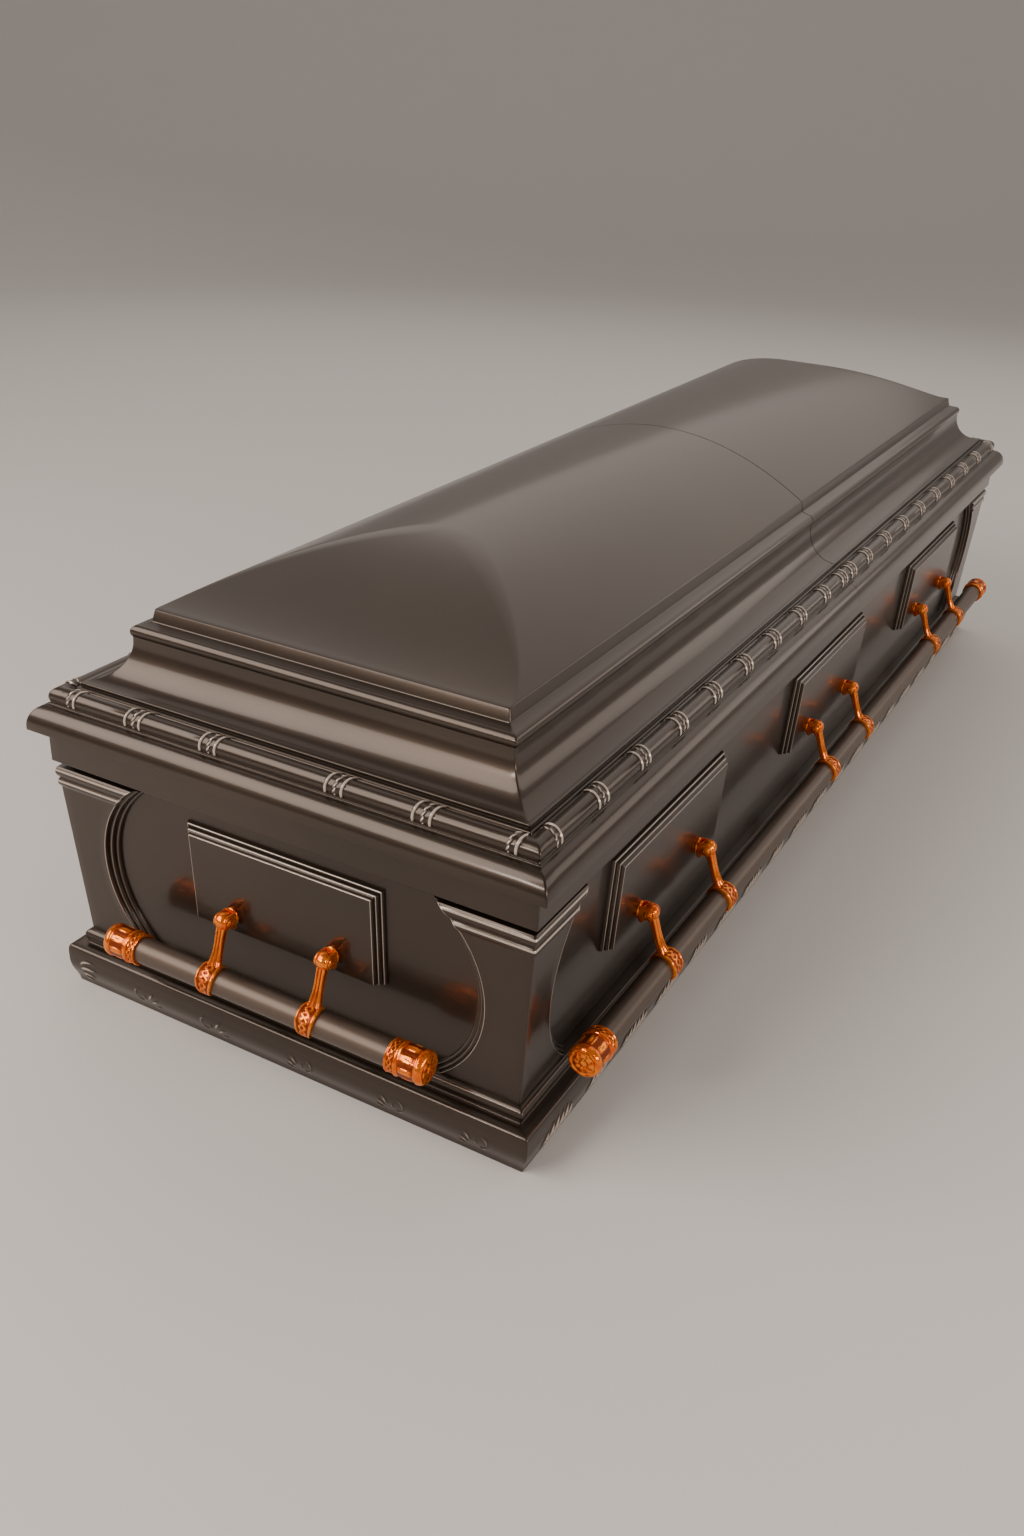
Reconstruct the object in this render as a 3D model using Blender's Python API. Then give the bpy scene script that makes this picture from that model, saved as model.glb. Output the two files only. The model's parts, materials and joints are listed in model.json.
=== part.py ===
"""Sheet-metal casket with a two-part domed lid and four swinging bar handles.

Metres, +Z up. X runs along the casket with the head end at -X, the front long side faces -Y,
and the origin is in the middle of the underside. A profile point is written as
(inset, height): inset is measured inwards from the widest edge of the rim moulding.
"""

import math

import bmesh
import bpy
import numpy as np
from mathutils import Matrix, Vector

MM = 0.001

# Overall size, over the widest edge of the rim moulding
LENGTH = 2.130
WIDTH = 0.740

# Sheet and running gaps
BODY_SHEET = 1.2 * MM
LID_SHEET = 1.2 * MM
MOULDING_SHEET = 1.5 * MM
SEAT_GAP = 0.3 * MM
LID_SEAM_GAP = 2.0 * MM
RIM_JOINT_GAP = 0.6 * MM

# Body walls: a plain skirt hidden by the base moulding, sloping fields, an upright collar
PAN_HEIGHT = 10.0 * MM
SKIRT_INSET = 50.0 * MM
FIELD_FOOT_INSET = 49.0 * MM
FIELD_FOOT_HEIGHT = 81.0 * MM
FIELD_HEAD_INSET = 36.0 * MM
POST_TOP_HEIGHT = 325.0 * MM
COLLAR_INSET = FIELD_HEAD_INSET

# Corner posts
POST_FOOT_INSET = 36.7 * MM
POST_HEAD_INSET = 23.5 * MM
POST_HEAD_BAND = 22.0 * MM
POST_NECKING_HEIGHT = POST_TOP_HEIGHT - POST_HEAD_BAND
POST_NECKING_OUT = 1.5 * MM
POST_CAP_OUT = 4.0 * MM
POST_CAP_DEPTH = 12.0 * MM
POST_CAP_ROUND = 2.5 * MM
POST_EDGE_WIDTH = 125.0 * MM
POST_WAIST_WIDTH = 64.0 * MM
POST_BAND = 7.0 * MM
POST_BAND_STEPS = 2
POST_ARC_STEPS = 6
CUTTER_REACH = 60.0 * MM
CUTTER_OVERRUN = 5.0 * MM

# Raised panels: three on each long side, one on each end
PANEL_FOOT = 175.0 * MM
PANEL_HEAD_MARGIN = 15.0 * MM
PANEL_TOP = POST_TOP_HEIGHT - PANEL_HEAD_MARGIN
SIDE_PANEL_WIDTH = 350.0 * MM
END_PANEL_WIDTH = 290.0 * MM
PANEL_PITCH = 650.0 * MM
SIDE_PANEL_COUNT = 3
PANEL_STEPS = 3
PANEL_STEP_OUT = 5.0 * MM
PANEL_STEP_IN = 4.5 * MM
PANEL_FOOT_STEP_IN = 1.0 * MM
PANEL_ROOT = 0.5 * MM

# Rim moulding: apron, flange with a round nose and two fine steps, half-round bead, seat for the lid.
# Its heights are stacked on the posts' top.
NECK_HEIGHT = 15.0 * MM
APRON_FOOT_HEIGHT = POST_TOP_HEIGHT + NECK_HEIGHT
APRON_INSET = 18.0 * MM
FLANGE_NOSE_RADIUS = 12.0 * MM
FLANGE_NOSE_RISE = 58.0 * MM
FLANGE_NOSE_HEIGHT = APRON_FOOT_HEIGHT + FLANGE_NOSE_RISE
FLANGE_NOSE_TOP_DEGREES = 88.0
FLANGE_NOSE_STEPS = 5
FLANGE_STEP_COUNT = 2
FLANGE_STEP_RUN = 3.2 * MM
FLANGE_STEP_LEAN = 1.0 * MM
BEAD_RADIUS = 12.5 * MM
BEAD_INSET = 34.0 * MM
BEAD_RISE = 30.0 * MM
BEAD_HEIGHT = FLANGE_NOSE_HEIGHT + BEAD_RISE
BEAD_FOOT_DEGREES = 30.0
BEAD_QUIRK_DEGREES = 35.0
BEAD_STEPS = 3
BEAD_TURN_DEGREES = (180.0 + BEAD_FOOT_DEGREES - BEAD_QUIRK_DEGREES) / BEAD_STEPS
COLLAR_ABOVE_BEAD = 2.0 * MM
COLLAR_TOP_HEIGHT = BEAD_HEIGHT + COLLAR_ABOVE_BEAD
SEAT_RISE = 10.7 * MM
SEAT_HEIGHT = BEAD_HEIGHT + SEAT_RISE
SEAT_START_INSET = 46.5 * MM
SEAT_WIDTH = 26.0 * MM
SEAT_TURN_DOWN = 10.0 * MM

# Raised ring bands on the bead
RING_BAND_LENGTH = 24.0 * MM
RING_BAND_OUT = 2.2 * MM
RING_BAND_TRIM_DEGREES = 7.0
SIDE_RING_PITCH = 111.7 * MM
SIDE_RING_COUNT = 9
SIDE_RING_JOINT_OFFSET = 24.0 * MM
END_RING_PLACES = (90.0 * MM, 206.0 * MM, 312.0 * MM)

# Base moulding
BASE_FOOT_INSET = 27.0 * MM
BASE_PLINTH_HEIGHT = 6.0 * MM
BASE_SWELL_INSET = 16.0 * MM
BASE_SWELL_HEIGHT = 25.0 * MM
BASE_NOSE_INSET = 11.0 * MM
BASE_NOSE_HEIGHT = 50.0 * MM
BASE_NOSE_RADIUS = 10.0 * MM
BASE_GROOVE_INSET = 31.0 * MM
BASE_GROOVE_HEIGHT = 62.0 * MM
BASE_LEDGE_INSET = 28.5 * MM
BASE_LEDGE_ROUND = 9.0 * MM
BASE_LEDGE_FOOT_DEGREES = 200.0
BASE_NOSE_FOOT_DEGREES = 190.0

# Lid: lip, cove, ledge, band, then a vaulted crown with hipped ends
LIP_INSET = 50.0 * MM
LIP_HEIGHT = 6.0 * MM
LIP_RETURN = 16.0 * MM
COVE_WIDTH = 46.0 * MM
COVE_HEIGHT = 52.0 * MM
COVE_STEPS = 5
LEDGE_STEP = 3.0 * MM
LEDGE_THICKNESS = 14.0 * MM
LEDGE_SLOPE = 6.0 * MM
LEDGE_ROUND = 4.0 * MM
LEDGE_WIDTH = 19.0 * MM
BAND_HEIGHT = 15.5 * MM
BAND_LEAN = 3.0 * MM
CROWN_RISE = 81.0 * MM
CROWN_STEPS = 7
HIP_LENGTH = 283.0 * MM
HIP_POWER = 1.5

# Bar handles
BAR_RADIUS = 17.0 * MM
BAR_WALL = 1.5 * MM
BAR_SIDES = 14
BAR_OVERHANG = 14.0 * MM
BAR_HEIGHT = 129.0 * MM
SIDE_BAR_HALF = 960.0 * MM
END_BAR_HALF = 226.0 * MM
CAP_LENGTH = 52.0 * MM
CAP_SLEEVE = 36.0 * MM
CAP_WALL = 2.0 * MM
CAP_SIDES = 10
CAP_RING_OUT = 1.4 * MM
CAP_RING_LENGTH = 9.0 * MM
CAP_NOSE_ROUND = 8.0 * MM
PIN_INSET = 11.5 * MM
PIN_HEIGHT = 201.0 * MM
PIN_RADIUS = 3.0 * MM
PIN_SIDES = 6
ARM_OFFSET = 94.6 * MM
END_ARM_OFFSET = 76.0 * MM
KNUCKLE_RADIUS = 10.5 * MM
KNUCKLE_WIDTH = 13.0 * MM
KNUCKLE_SIDES = 7
PIN_GAP = 0.4 * MM
STEM_TOP_WIDTH = 10.0 * MM
STEM_WAIST_WIDTH = 8.0 * MM
STEM_FOOT_WIDTH = 19.0 * MM
STEM_DEPTH = 8.0 * MM
STEM_WAIST_SHARE = 0.55
COLLAR_WALL = 2.4 * MM
COLLAR_WIDTH = 24.0 * MM
COLLAR_SIDES = 8
LUG_CHEEK = 2.6 * MM
LUG_PLATE = 3.0 * MM
LUG_HEIGHT = 16.0 * MM
LUG_NOSE = 6.0 * MM

# Finishes: colour, roughness, metallic
FINISHES = {
    "taupe_enamel": ((0.165, 0.125, 0.100), 0.30, 0.55),
    "polished_copper": ((0.80, 0.26, 0.07), 0.18, 1.0),
}

SIDES = {
    "front": (0.0, WIDTH / 2),
    "back": (math.pi, WIDTH / 2),
    "head": (-math.pi / 2, LENGTH / 2),
    "foot": (math.pi / 2, LENGTH / 2),
}


def clear_scene():
    """Remove every object that the scene holds."""
    for thing in list(bpy.data.objects):
        bpy.data.objects.remove(thing, do_unlink=True)


def finish(name):
    """Return the material of that name, made at its first use."""
    found = bpy.data.materials.get(name)
    if found:
        return found
    colour, roughness, metallic = FINISHES[name]
    made = bpy.data.materials.new(name)
    made.use_nodes = True
    shader = made.node_tree.nodes["Principled BSDF"]
    shader.inputs["Base Color"].default_value = (*colour, 1.0)
    shader.inputs["Roughness"].default_value = roughness
    shader.inputs["Metallic"].default_value = metallic
    made.diffuse_color = (*colour, 1.0)
    return made


def solid(name, points, faces, coating="taupe_enamel", smooth=False):
    """Make one closed mesh object, its doubled points merged and its faces turned outwards."""
    mesh = bpy.data.meshes.new(name)
    mesh.from_pydata([tuple(point) for point in points], [], faces)
    made = bmesh.new()
    made.from_mesh(mesh)
    bmesh.ops.remove_doubles(made, verts=made.verts, dist=0.00001)
    bmesh.ops.dissolve_degenerate(made, edges=made.edges, dist=0.000001)
    bmesh.ops.recalc_face_normals(made, faces=made.faces)
    for face in made.faces:
        face.smooth = smooth
    made.to_mesh(mesh)
    made.free()
    mesh.materials.append(finish(coating))
    thing = bpy.data.objects.new(name, mesh)
    bpy.context.scene.collection.objects.link(thing)
    return thing


def combine(base, tool, operation):
    """Apply one exact boolean of the tool to the base, and remove the tool."""
    step = base.modifiers.new(operation.lower(), "BOOLEAN")
    step.operation = operation
    step.solver = "EXACT"
    step.object = tool
    depsgraph = bpy.context.evaluated_depsgraph_get()
    result = bpy.data.meshes.new_from_object(base.evaluated_get(depsgraph))
    base.modifiers.clear()
    base.data = result
    bpy.data.objects.remove(tool, do_unlink=True)


def offset_profile(points, distance):
    """Shift an open profile sideways by distance, to its left, with mitred corners."""
    line = np.array(points, dtype=float)
    step = np.diff(line, axis=0)
    step /= np.linalg.norm(step, axis=1)[:, None]
    normal = np.stack([-step[:, 1], step[:, 0]], axis=1)
    before = np.vstack([normal[:1], normal])
    after = np.vstack([normal, normal[-1:]])
    mitre = before + after
    mitre /= np.sum(mitre * before, axis=1)[:, None]
    return [tuple(point) for point in line + distance * mitre]


def sheet_loop(outer, thickness):
    """Close an open profile into the loop of a sheet that lies on its left."""
    return list(outer) + list(reversed(offset_profile(outer, thickness)))


def arc(centre, radii, start, end, steps):
    """Points on an ellipse from start to end, in degrees, both ends kept."""
    angles = np.radians(np.linspace(start, end, steps + 1))
    across = centre[0] + radii[0] * np.cos(angles)
    up = centre[1] + radii[1] * np.sin(angles)
    return list(zip(across, up))


def halves(point):
    """Half sizes in X and Y and the height at one (inset, height) point."""
    return (LENGTH / 2 - point[0], WIDTH / 2 - point[0], point[1])


def ring(half_x, half_y, height):
    """Four corners of one level of a rectangular ring."""
    return [(-half_x, half_y, height), (-half_x, -half_y, height),
            (half_x, -half_y, height), (half_x, half_y, height)]


def ring_sweep(name, loop):
    """Carry a closed profile loop round the whole rectangle."""
    points = [corner for point in loop for corner in ring(*halves(point))]
    count = len(loop)
    faces = []
    for level in range(count):
        upper = (level + 1) % count
        for side in range(4):
            turn = (side + 1) % 4
            faces.append((4 * level + side, 4 * level + turn, 4 * upper + turn, 4 * upper + side))
    return solid(name, points, faces)


def stacked_block(name, profile):
    """A filled block whose rectangular levels follow a profile from its foot to its top."""
    points = [corner for point in profile for corner in ring(*halves(point))]
    faces = [(3, 2, 1, 0)]
    for level in range(len(profile) - 1):
        for side in range(4):
            turn = (side + 1) % 4
            low = 4 * level
            faces.append((low + side, low + turn, low + 4 + turn, low + 4 + side))
    top = 4 * (len(profile) - 1)
    faces.append((top, top + 1, top + 2, top + 3))
    return solid(name, points, faces)


def half_sweep(name, levels, end_sign, cut, closed):
    """Carry levels (half_x, half_y, height) round one end and cut them off near the middle.

    A closed chain is a loop of a sheet. An open one starts and ends on the ridge line, where
    its two sides meet.
    """
    points = []
    for half_x, half_y, height in levels:
        points += [(end_sign * cut, half_y, height), (end_sign * half_x, half_y, height),
                   (end_sign * half_x, -half_y, height), (end_sign * cut, -half_y, height)]
    count = len(levels)
    faces = []
    for level in range(count if closed else count - 1):
        upper = (level + 1) % count
        for side in range(3):
            faces.append((4 * level + side, 4 * level + side + 1, 4 * upper + side + 1, 4 * upper + side))
    faces.append(tuple(4 * level for level in range(count)))
    faces.append(tuple(4 * level + 3 for level in reversed(range(count))))
    return solid(name, points, faces)


def side_matrix(side):
    """Turn a thing built on the front into its place on the named side."""
    return Matrix.Rotation(SIDES[side][0], 4, "Z")


def field_inset(height):
    """Inset of the sloping wall field at one height."""
    share = (height - FIELD_FOOT_HEIGHT) / (POST_TOP_HEIGHT - FIELD_FOOT_HEIGHT)
    return FIELD_FOOT_INSET + (FIELD_HEAD_INSET - FIELD_FOOT_INSET) * share


def panel_inset(height):
    """Inset of the front face of a raised panel at one height."""
    return field_inset(height) - PANEL_STEPS * PANEL_STEP_OUT


def field_slope():
    """Lean of the wall field from upright, in radians."""
    return math.atan2(FIELD_FOOT_INSET - FIELD_HEAD_INSET, POST_TOP_HEIGHT - FIELD_FOOT_HEIGHT)


def on_wall(side, along, height, inset):
    """World point on a side: along it, at a height, at an inset from the rim's widest edge."""
    reach = SIDES[side][1]
    return side_matrix(side) @ Vector((along, -(reach - inset), height))


def span_of(side):
    """Half of the distance between the outer planes at the two ends of a side."""
    return LENGTH / 2 if side in ("front", "back") else WIDTH / 2


def post_edge(height, widen):
    """Distance from the outer plane to the post's curved inner edge, less the widening.

    The edge is a circular arc, widest of the field half way up the post.
    """
    chord = (POST_TOP_HEIGHT - FIELD_FOOT_HEIGHT) / 2
    sagitta = POST_EDGE_WIDTH - POST_WAIST_WIDTH
    radius = (chord ** 2 + sagitta ** 2) / (2 * sagitta)
    middle = (POST_TOP_HEIGHT + FIELD_FOOT_HEIGHT) / 2
    rise = min(abs(height - middle), chord)
    return POST_WAIST_WIDTH + radius - math.sqrt(radius ** 2 - rise ** 2) - widen


def field_cutter(side, step, thickness):
    """Block that clears the field between two posts down to one step of the post's edge.

    With a thickness it clears the whole banded width down to the sheet behind the field.
    """
    depth = step * (FIELD_FOOT_INSET - POST_FOOT_INSET) / (POST_BAND_STEPS + 1)
    widen = step * POST_BAND
    if thickness:
        widen = POST_BAND_STEPS * POST_BAND + thickness
    inner = np.linspace(FIELD_FOOT_HEIGHT, POST_TOP_HEIGHT, POST_ARC_STEPS + 1)
    heights = [inner[0] - CUTTER_OVERRUN, *inner, inner[-1] + CUTTER_OVERRUN]
    span = span_of(side) - POST_FOOT_INSET
    outline = [(-(span - post_edge(z, widen)), z) for z in heights]
    outline += [(-along, z) for along, z in reversed(outline)]
    back = [on_wall(side, u, z, field_inset(z) - depth + thickness) for u, z in outline]
    front = [on_wall(side, u, z, -CUTTER_REACH) for u, z in outline]
    count = len(outline)
    faces = [tuple(range(count)), tuple(reversed(range(count, 2 * count)))]
    faces += [(k, (k + 1) % count, (k + 1) % count + count, k + count) for k in range(count)]
    return solid("cutter", back + front, faces)


def panel_block(side, along, width, thickness):
    """Raised panel whose top and side edges step in three times, on the sloping field.

    With a thickness it is the hollow behind the pressed panel instead.
    """
    last = PANEL_STEPS - 1
    if thickness:
        levels = [(last, -(PANEL_ROOT + thickness)), (last, PANEL_STEPS * PANEL_STEP_OUT - thickness)]
    else:
        levels = [(0, -PANEL_ROOT)]
        for step in range(PANEL_STEPS):
            out = (step + 1) * PANEL_STEP_OUT
            levels += [(step, out), (min(step + 1, last), out)]
        levels.pop()
    points = []
    for step, out in levels:
        half = width / 2 - step * PANEL_STEP_IN - thickness
        foot = PANEL_FOOT + step * PANEL_FOOT_STEP_IN + thickness
        top = PANEL_TOP - step * PANEL_STEP_IN - thickness
        for u, z in ((-half, foot), (half, foot), (half, top), (-half, top)):
            points.append(on_wall(side, along + u, z, field_inset(z) - out))
    faces = [(3, 2, 1, 0)]
    for level in range(len(levels) - 1):
        for edge in range(4):
            turn = (edge + 1) % 4
            low = 4 * level
            faces.append((low + edge, low + turn, low + 4 + turn, low + 4 + edge))
    top = 4 * (len(levels) - 1)
    faces.append((top, top + 1, top + 2, top + 3))
    return solid("panel", points, faces)


def post_profile():
    """Profile of the walls with the posts' faces, from the pan up to the collar."""
    cap_foot = POST_TOP_HEIGHT - POST_CAP_DEPTH
    cap_inset = POST_HEAD_INSET - POST_CAP_OUT
    necking = POST_HEAD_INSET - POST_NECKING_OUT
    return [
        (SKIRT_INSET, PAN_HEIGHT),
        (SKIRT_INSET, FIELD_FOOT_HEIGHT),
        (POST_FOOT_INSET, FIELD_FOOT_HEIGHT),
        (POST_HEAD_INSET, POST_NECKING_HEIGHT),
        (necking, POST_NECKING_HEIGHT + POST_CAP_ROUND),
        (necking, cap_foot - POST_CAP_ROUND),
        (cap_inset, cap_foot),
        (cap_inset, POST_TOP_HEIGHT - POST_CAP_ROUND),
        (cap_inset + POST_CAP_ROUND, POST_TOP_HEIGHT),
        (COLLAR_INSET, POST_TOP_HEIGHT),
        (COLLAR_INSET, COLLAR_TOP_HEIGHT),
    ]


def panel_places(side):
    """Centres and width of the raised panels on one side."""
    if side in ("head", "foot"):
        return [0.0], END_PANEL_WIDTH
    middle = (SIDE_PANEL_COUNT - 1) / 2
    return [(k - middle) * PANEL_PITCH for k in range(SIDE_PANEL_COUNT)], SIDE_PANEL_WIDTH


def body_form(name, thickness):
    """The body's outside, or with a thickness the room inside its pressed sheet."""
    profile = post_profile()
    if thickness:
        inner = offset_profile(profile, -thickness)
        inner[0] = (inner[0][0], PAN_HEIGHT + thickness)
        inner[-1] = (inner[-1][0], inner[-1][1] + CUTTER_OVERRUN)
        profile = inner
    form = stacked_block(name, profile)
    steps = range(1) if thickness else range(POST_BAND_STEPS + 1)
    for side in SIDES:
        for step in steps:
            combine(form, field_cutter(side, step, thickness), "DIFFERENCE")
        places, width = panel_places(side)
        for along in places:
            combine(form, panel_block(side, along, width, thickness), "UNION")
    return form


def body_shell():
    """Pressed and welded sheet body: walls, corner posts, raised panels and bottom pan."""
    shell = body_form("body_shell", 0.0)
    combine(shell, body_form("body_room", BODY_SHEET), "DIFFERENCE")
    return shell


def flange_outline():
    """Flange from the apron round its nose and up two fine steps to the foot of the bead."""
    nose = FLANGE_NOSE_RADIUS
    foot = 360.0 - math.degrees(math.acos((APRON_INSET - nose) / nose))
    line = arc((nose, FLANGE_NOSE_HEIGHT), (nose, nose), foot, FLANGE_NOSE_TOP_DEGREES, FLANGE_NOSE_STEPS)
    foot_angle = math.radians(180.0 + BEAD_FOOT_DEGREES)
    bead_foot = (BEAD_INSET + BEAD_RADIUS * math.cos(foot_angle), BEAD_HEIGHT + BEAD_RADIUS * math.sin(foot_angle))
    first = bead_foot[0] - FLANGE_STEP_COUNT * FLANGE_STEP_RUN - FLANGE_STEP_LEAN
    rise = (bead_foot[1] - line[-1][1]) / (FLANGE_STEP_COUNT + 1)
    height = line[-1][1] + rise / 2
    inset = first
    for _ in range(FLANGE_STEP_COUNT):
        line.append((inset, height))
        height += rise
        line.append((inset + FLANGE_STEP_LEAN, height))
        inset += FLANGE_STEP_RUN
    return line


def rim_outline():
    """Outside of the rim moulding, from its return under the apron to its turned-down seat."""
    line = [(COLLAR_INSET - SEAT_GAP, APRON_FOOT_HEIGHT), (APRON_INSET, APRON_FOOT_HEIGHT)]
    line += flange_outline()
    line += arc((BEAD_INSET, BEAD_HEIGHT), (BEAD_RADIUS, BEAD_RADIUS), 180.0 + BEAD_FOOT_DEGREES,
                BEAD_QUIRK_DEGREES, BEAD_STEPS)
    line += [(SEAT_START_INSET, SEAT_HEIGHT), (SEAT_START_INSET + SEAT_WIDTH, SEAT_HEIGHT),
             (SEAT_START_INSET + SEAT_WIDTH, SEAT_HEIGHT - SEAT_TURN_DOWN)]
    return line


def bead_point(radius, angle):
    """Point on the bead's faceted outline at an angle in degrees, outwards at 0."""
    from_middle = (angle + BEAD_FOOT_DEGREES) % BEAD_TURN_DEGREES - BEAD_TURN_DEGREES / 2
    reach = radius * math.cos(math.radians(BEAD_TURN_DEGREES / 2)) / math.cos(math.radians(from_middle))
    return reach * math.cos(math.radians(angle)), reach * math.sin(math.radians(angle))


def ring_band(x, y, along_x):
    """One raised band over the bead's sheet, centred at (x, y) on the bead's own line."""
    outward = math.copysign(1.0, y) if along_x else math.copysign(1.0, x)
    angles = [k * BEAD_TURN_DEGREES - BEAD_FOOT_DEGREES for k in range(BEAD_STEPS + 1)]
    angles[0] += RING_BAND_TRIM_DEGREES
    angles[-1] -= RING_BAND_TRIM_DEGREES
    outer = [bead_point(BEAD_RADIUS + RING_BAND_OUT, angle) for angle in angles]
    inner = [bead_point(BEAD_RADIUS - MOULDING_SHEET / 2, angle) for angle in angles]
    shape = outer + inner[::-1]
    points = []
    for end in (-RING_BAND_LENGTH / 2, RING_BAND_LENGTH / 2):
        for across, up in shape:
            shift = outward * across
            place = (x + end, y + shift) if along_x else (x + shift, y + end)
            points.append((*place, BEAD_HEIGHT + up))
    count = len(shape)
    faces = [tuple(range(count)), tuple(reversed(range(count, 2 * count)))]
    faces += [(k, (k + 1) % count, (k + 1) % count + count, k + count) for k in range(count)]
    return solid("band", points, faces)


def rim_half(name, end_sign):
    """Half of the rim moulding, with the ring bands on its bead."""
    levels = [halves(point) for point in sheet_loop(rim_outline(), -MOULDING_SHEET)]
    rim = half_sweep(name, levels, end_sign, RIM_JOINT_GAP / 2, True)
    half_x = LENGTH / 2 - BEAD_INSET
    half_y = WIDTH / 2 - BEAD_INSET
    along = [SIDE_RING_JOINT_OFFSET] + [k * SIDE_RING_PITCH for k in range(1, SIDE_RING_COUNT + 1)]
    for sign in (-1.0, 1.0):
        for place in along:
            combine(rim, ring_band(end_sign * place, sign * half_y, True), "UNION")
        for place in END_RING_PLACES:
            combine(rim, ring_band(end_sign * half_x, sign * place, False), "UNION")
    return rim


def base_outline():
    """Outside of the base moulding, from its foot against the skirt up and back to the wall."""
    nose = BASE_NOSE_RADIUS
    ledge_top = FIELD_FOOT_HEIGHT - SEAT_GAP
    wall = SKIRT_INSET - SEAT_GAP
    line = [(wall, 0.0), (BASE_FOOT_INSET, 0.0), (BASE_FOOT_INSET, BASE_PLINTH_HEIGHT),
            (BASE_SWELL_INSET, BASE_SWELL_HEIGHT)]
    line += arc((BASE_NOSE_INSET + nose, BASE_NOSE_HEIGHT), (nose, nose), BASE_NOSE_FOOT_DEGREES, 90, 4)
    line += [(BASE_GROOVE_INSET, BASE_NOSE_HEIGHT + nose), (BASE_GROOVE_INSET, BASE_GROOVE_HEIGHT)]
    round_ = BASE_LEDGE_ROUND
    centre = (BASE_LEDGE_INSET + round_, ledge_top - round_)
    line += arc(centre, (round_, round_), BASE_LEDGE_FOOT_DEGREES, 90, 3)
    line += [(wall, ledge_top)]
    return line


def base_moulding():
    """Formed moulding round the foot of the body, which the casket stands on."""
    return ring_sweep("base_moulding", sheet_loop(base_outline(), -MOULDING_SHEET))


def lid_lower_outline():
    """Outside of the lid from its inner return out to the lip and up to the crown's edge."""
    foot = SEAT_HEIGHT + SEAT_GAP
    cove_foot = foot + LIP_HEIGHT
    cove_top = cove_foot + COVE_HEIGHT
    ledge_inset = LIP_INSET + COVE_WIDTH + LEDGE_STEP
    line = [(LIP_INSET + LIP_RETURN, foot), (LIP_INSET, foot)]
    line += arc((LIP_INSET, cove_top), (COVE_WIDTH, -COVE_HEIGHT), 90, 0, COVE_STEPS)
    line += [(ledge_inset, cove_top + LEDGE_STEP)]
    ledge_top = cove_top + LEDGE_STEP + LEDGE_THICKNESS
    round_ = LEDGE_ROUND
    line += arc((ledge_inset + round_ - LEDGE_STEP, ledge_top - round_), (round_, round_), 180, 90, 2)
    line += [(ledge_inset + LEDGE_WIDTH - BAND_LEAN, ledge_top + LEDGE_SLOPE)]
    return line


def crown_edge():
    """Inset and height of the crown's lower edge."""
    inset, height = lid_lower_outline()[-1]
    return inset + BAND_LEAN, height + BAND_HEIGHT


def crown_level(share, thickness):
    """Half sizes and height of one contour of the crown, from its edge, 0, to the ridge, 1.

    Across, the vault is a parabola. Along, the hip's edge curves, because the contour's
    distance from the end grows as a lower power of the share.
    """
    inset, height = crown_edge()
    half_y = (WIDTH / 2 - inset - thickness) * (1.0 - share)
    half_x = LENGTH / 2 - inset - thickness - HIP_LENGTH * share ** (1.0 / HIP_POWER)
    return half_x, half_y, height + CROWN_RISE * (1.0 - (1.0 - share) ** 2) - thickness


def lid_half(name, end_sign):
    """Half of the lid, one pressed sheet, open below and at the seam."""
    lower = lid_lower_outline()
    inner = offset_profile(lower, -LID_SHEET)
    shares = [k / CROWN_STEPS for k in range(CROWN_STEPS + 1)]
    levels = [crown_level(share, 0.0) for share in reversed(shares)]
    levels += [halves(point) for point in reversed(lower)]
    levels += [halves(point) for point in inner]
    levels += [crown_level(share, LID_SHEET) for share in shares]
    return half_sweep(name, levels, end_sign, LID_SEAM_GAP / 2, False)


def lathe_x(name, profile, sides, coating, phase=0.5):
    """Turn a closed profile of (along X, radius) points about the X axis."""
    count = len(profile)
    points = []
    for k in range(sides):
        angle = 2.0 * math.pi * (k + phase) / sides
        for along, radius in profile:
            points.append((along, radius * math.cos(angle), radius * math.sin(angle)))
    faces = []
    for k in range(sides):
        low = k * count
        high = ((k + 1) % sides) * count
        for j in range(count):
            turn = (j + 1) % count
            if profile[j][1] == 0.0 and profile[turn][1] == 0.0:
                continue
            faces.append((low + j, low + turn, high + turn, high + j))
    return solid(name, points, faces, coating, smooth=True)


def bar_centre():
    """Bar's centre as seen from the pin, on the front: outwards is -Y."""
    return Vector((0.0, -(BAR_OVERHANG + PIN_INSET), BAR_HEIGHT - PIN_HEIGHT))


def ring_profile(half_width, inner, outer):
    """Closed profile of a plain ring."""
    return [(-half_width, inner), (-half_width, outer), (half_width, outer), (half_width, inner)]


def circumscribed(radius, sides):
    """Corner radius of a polygon whose flats lie at the given radius."""
    return radius / math.cos(math.pi / sides)


def handle_bar(name, half):
    """Steel tube of one handle."""
    bar = lathe_x(name, ring_profile(half, BAR_RADIUS - BAR_WALL, BAR_RADIUS), BAR_SIDES, "taupe_enamel")
    bar.data.transform(Matrix.Translation(bar_centre()))
    return bar


def handle_cap(name, half, sign):
    """Cup over the end of the tube, with a raised ring at its mouth and a rounded nose."""
    bore = circumscribed(BAR_RADIUS + SEAT_GAP, CAP_SIDES)
    outer = bore + CAP_WALL
    floor = half + SEAT_GAP
    mouth = floor - CAP_SLEEVE
    tip = mouth + CAP_LENGTH
    profile = [(mouth, bore), (mouth, outer + CAP_RING_OUT), (mouth + CAP_RING_LENGTH, outer + CAP_RING_OUT),
               (mouth + CAP_RING_LENGTH + CAP_RING_OUT, outer), (tip - CAP_NOSE_ROUND, outer),
               (tip, outer - CAP_NOSE_ROUND), (tip, 0.0), (floor, 0.0), (floor, bore)]
    profile = [(sign * along, radius) for along, radius in profile]
    cap = lathe_x(name, profile, CAP_SIDES, "polished_copper")
    cap.data.transform(Matrix.Translation(bar_centre()))
    return cap


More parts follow.
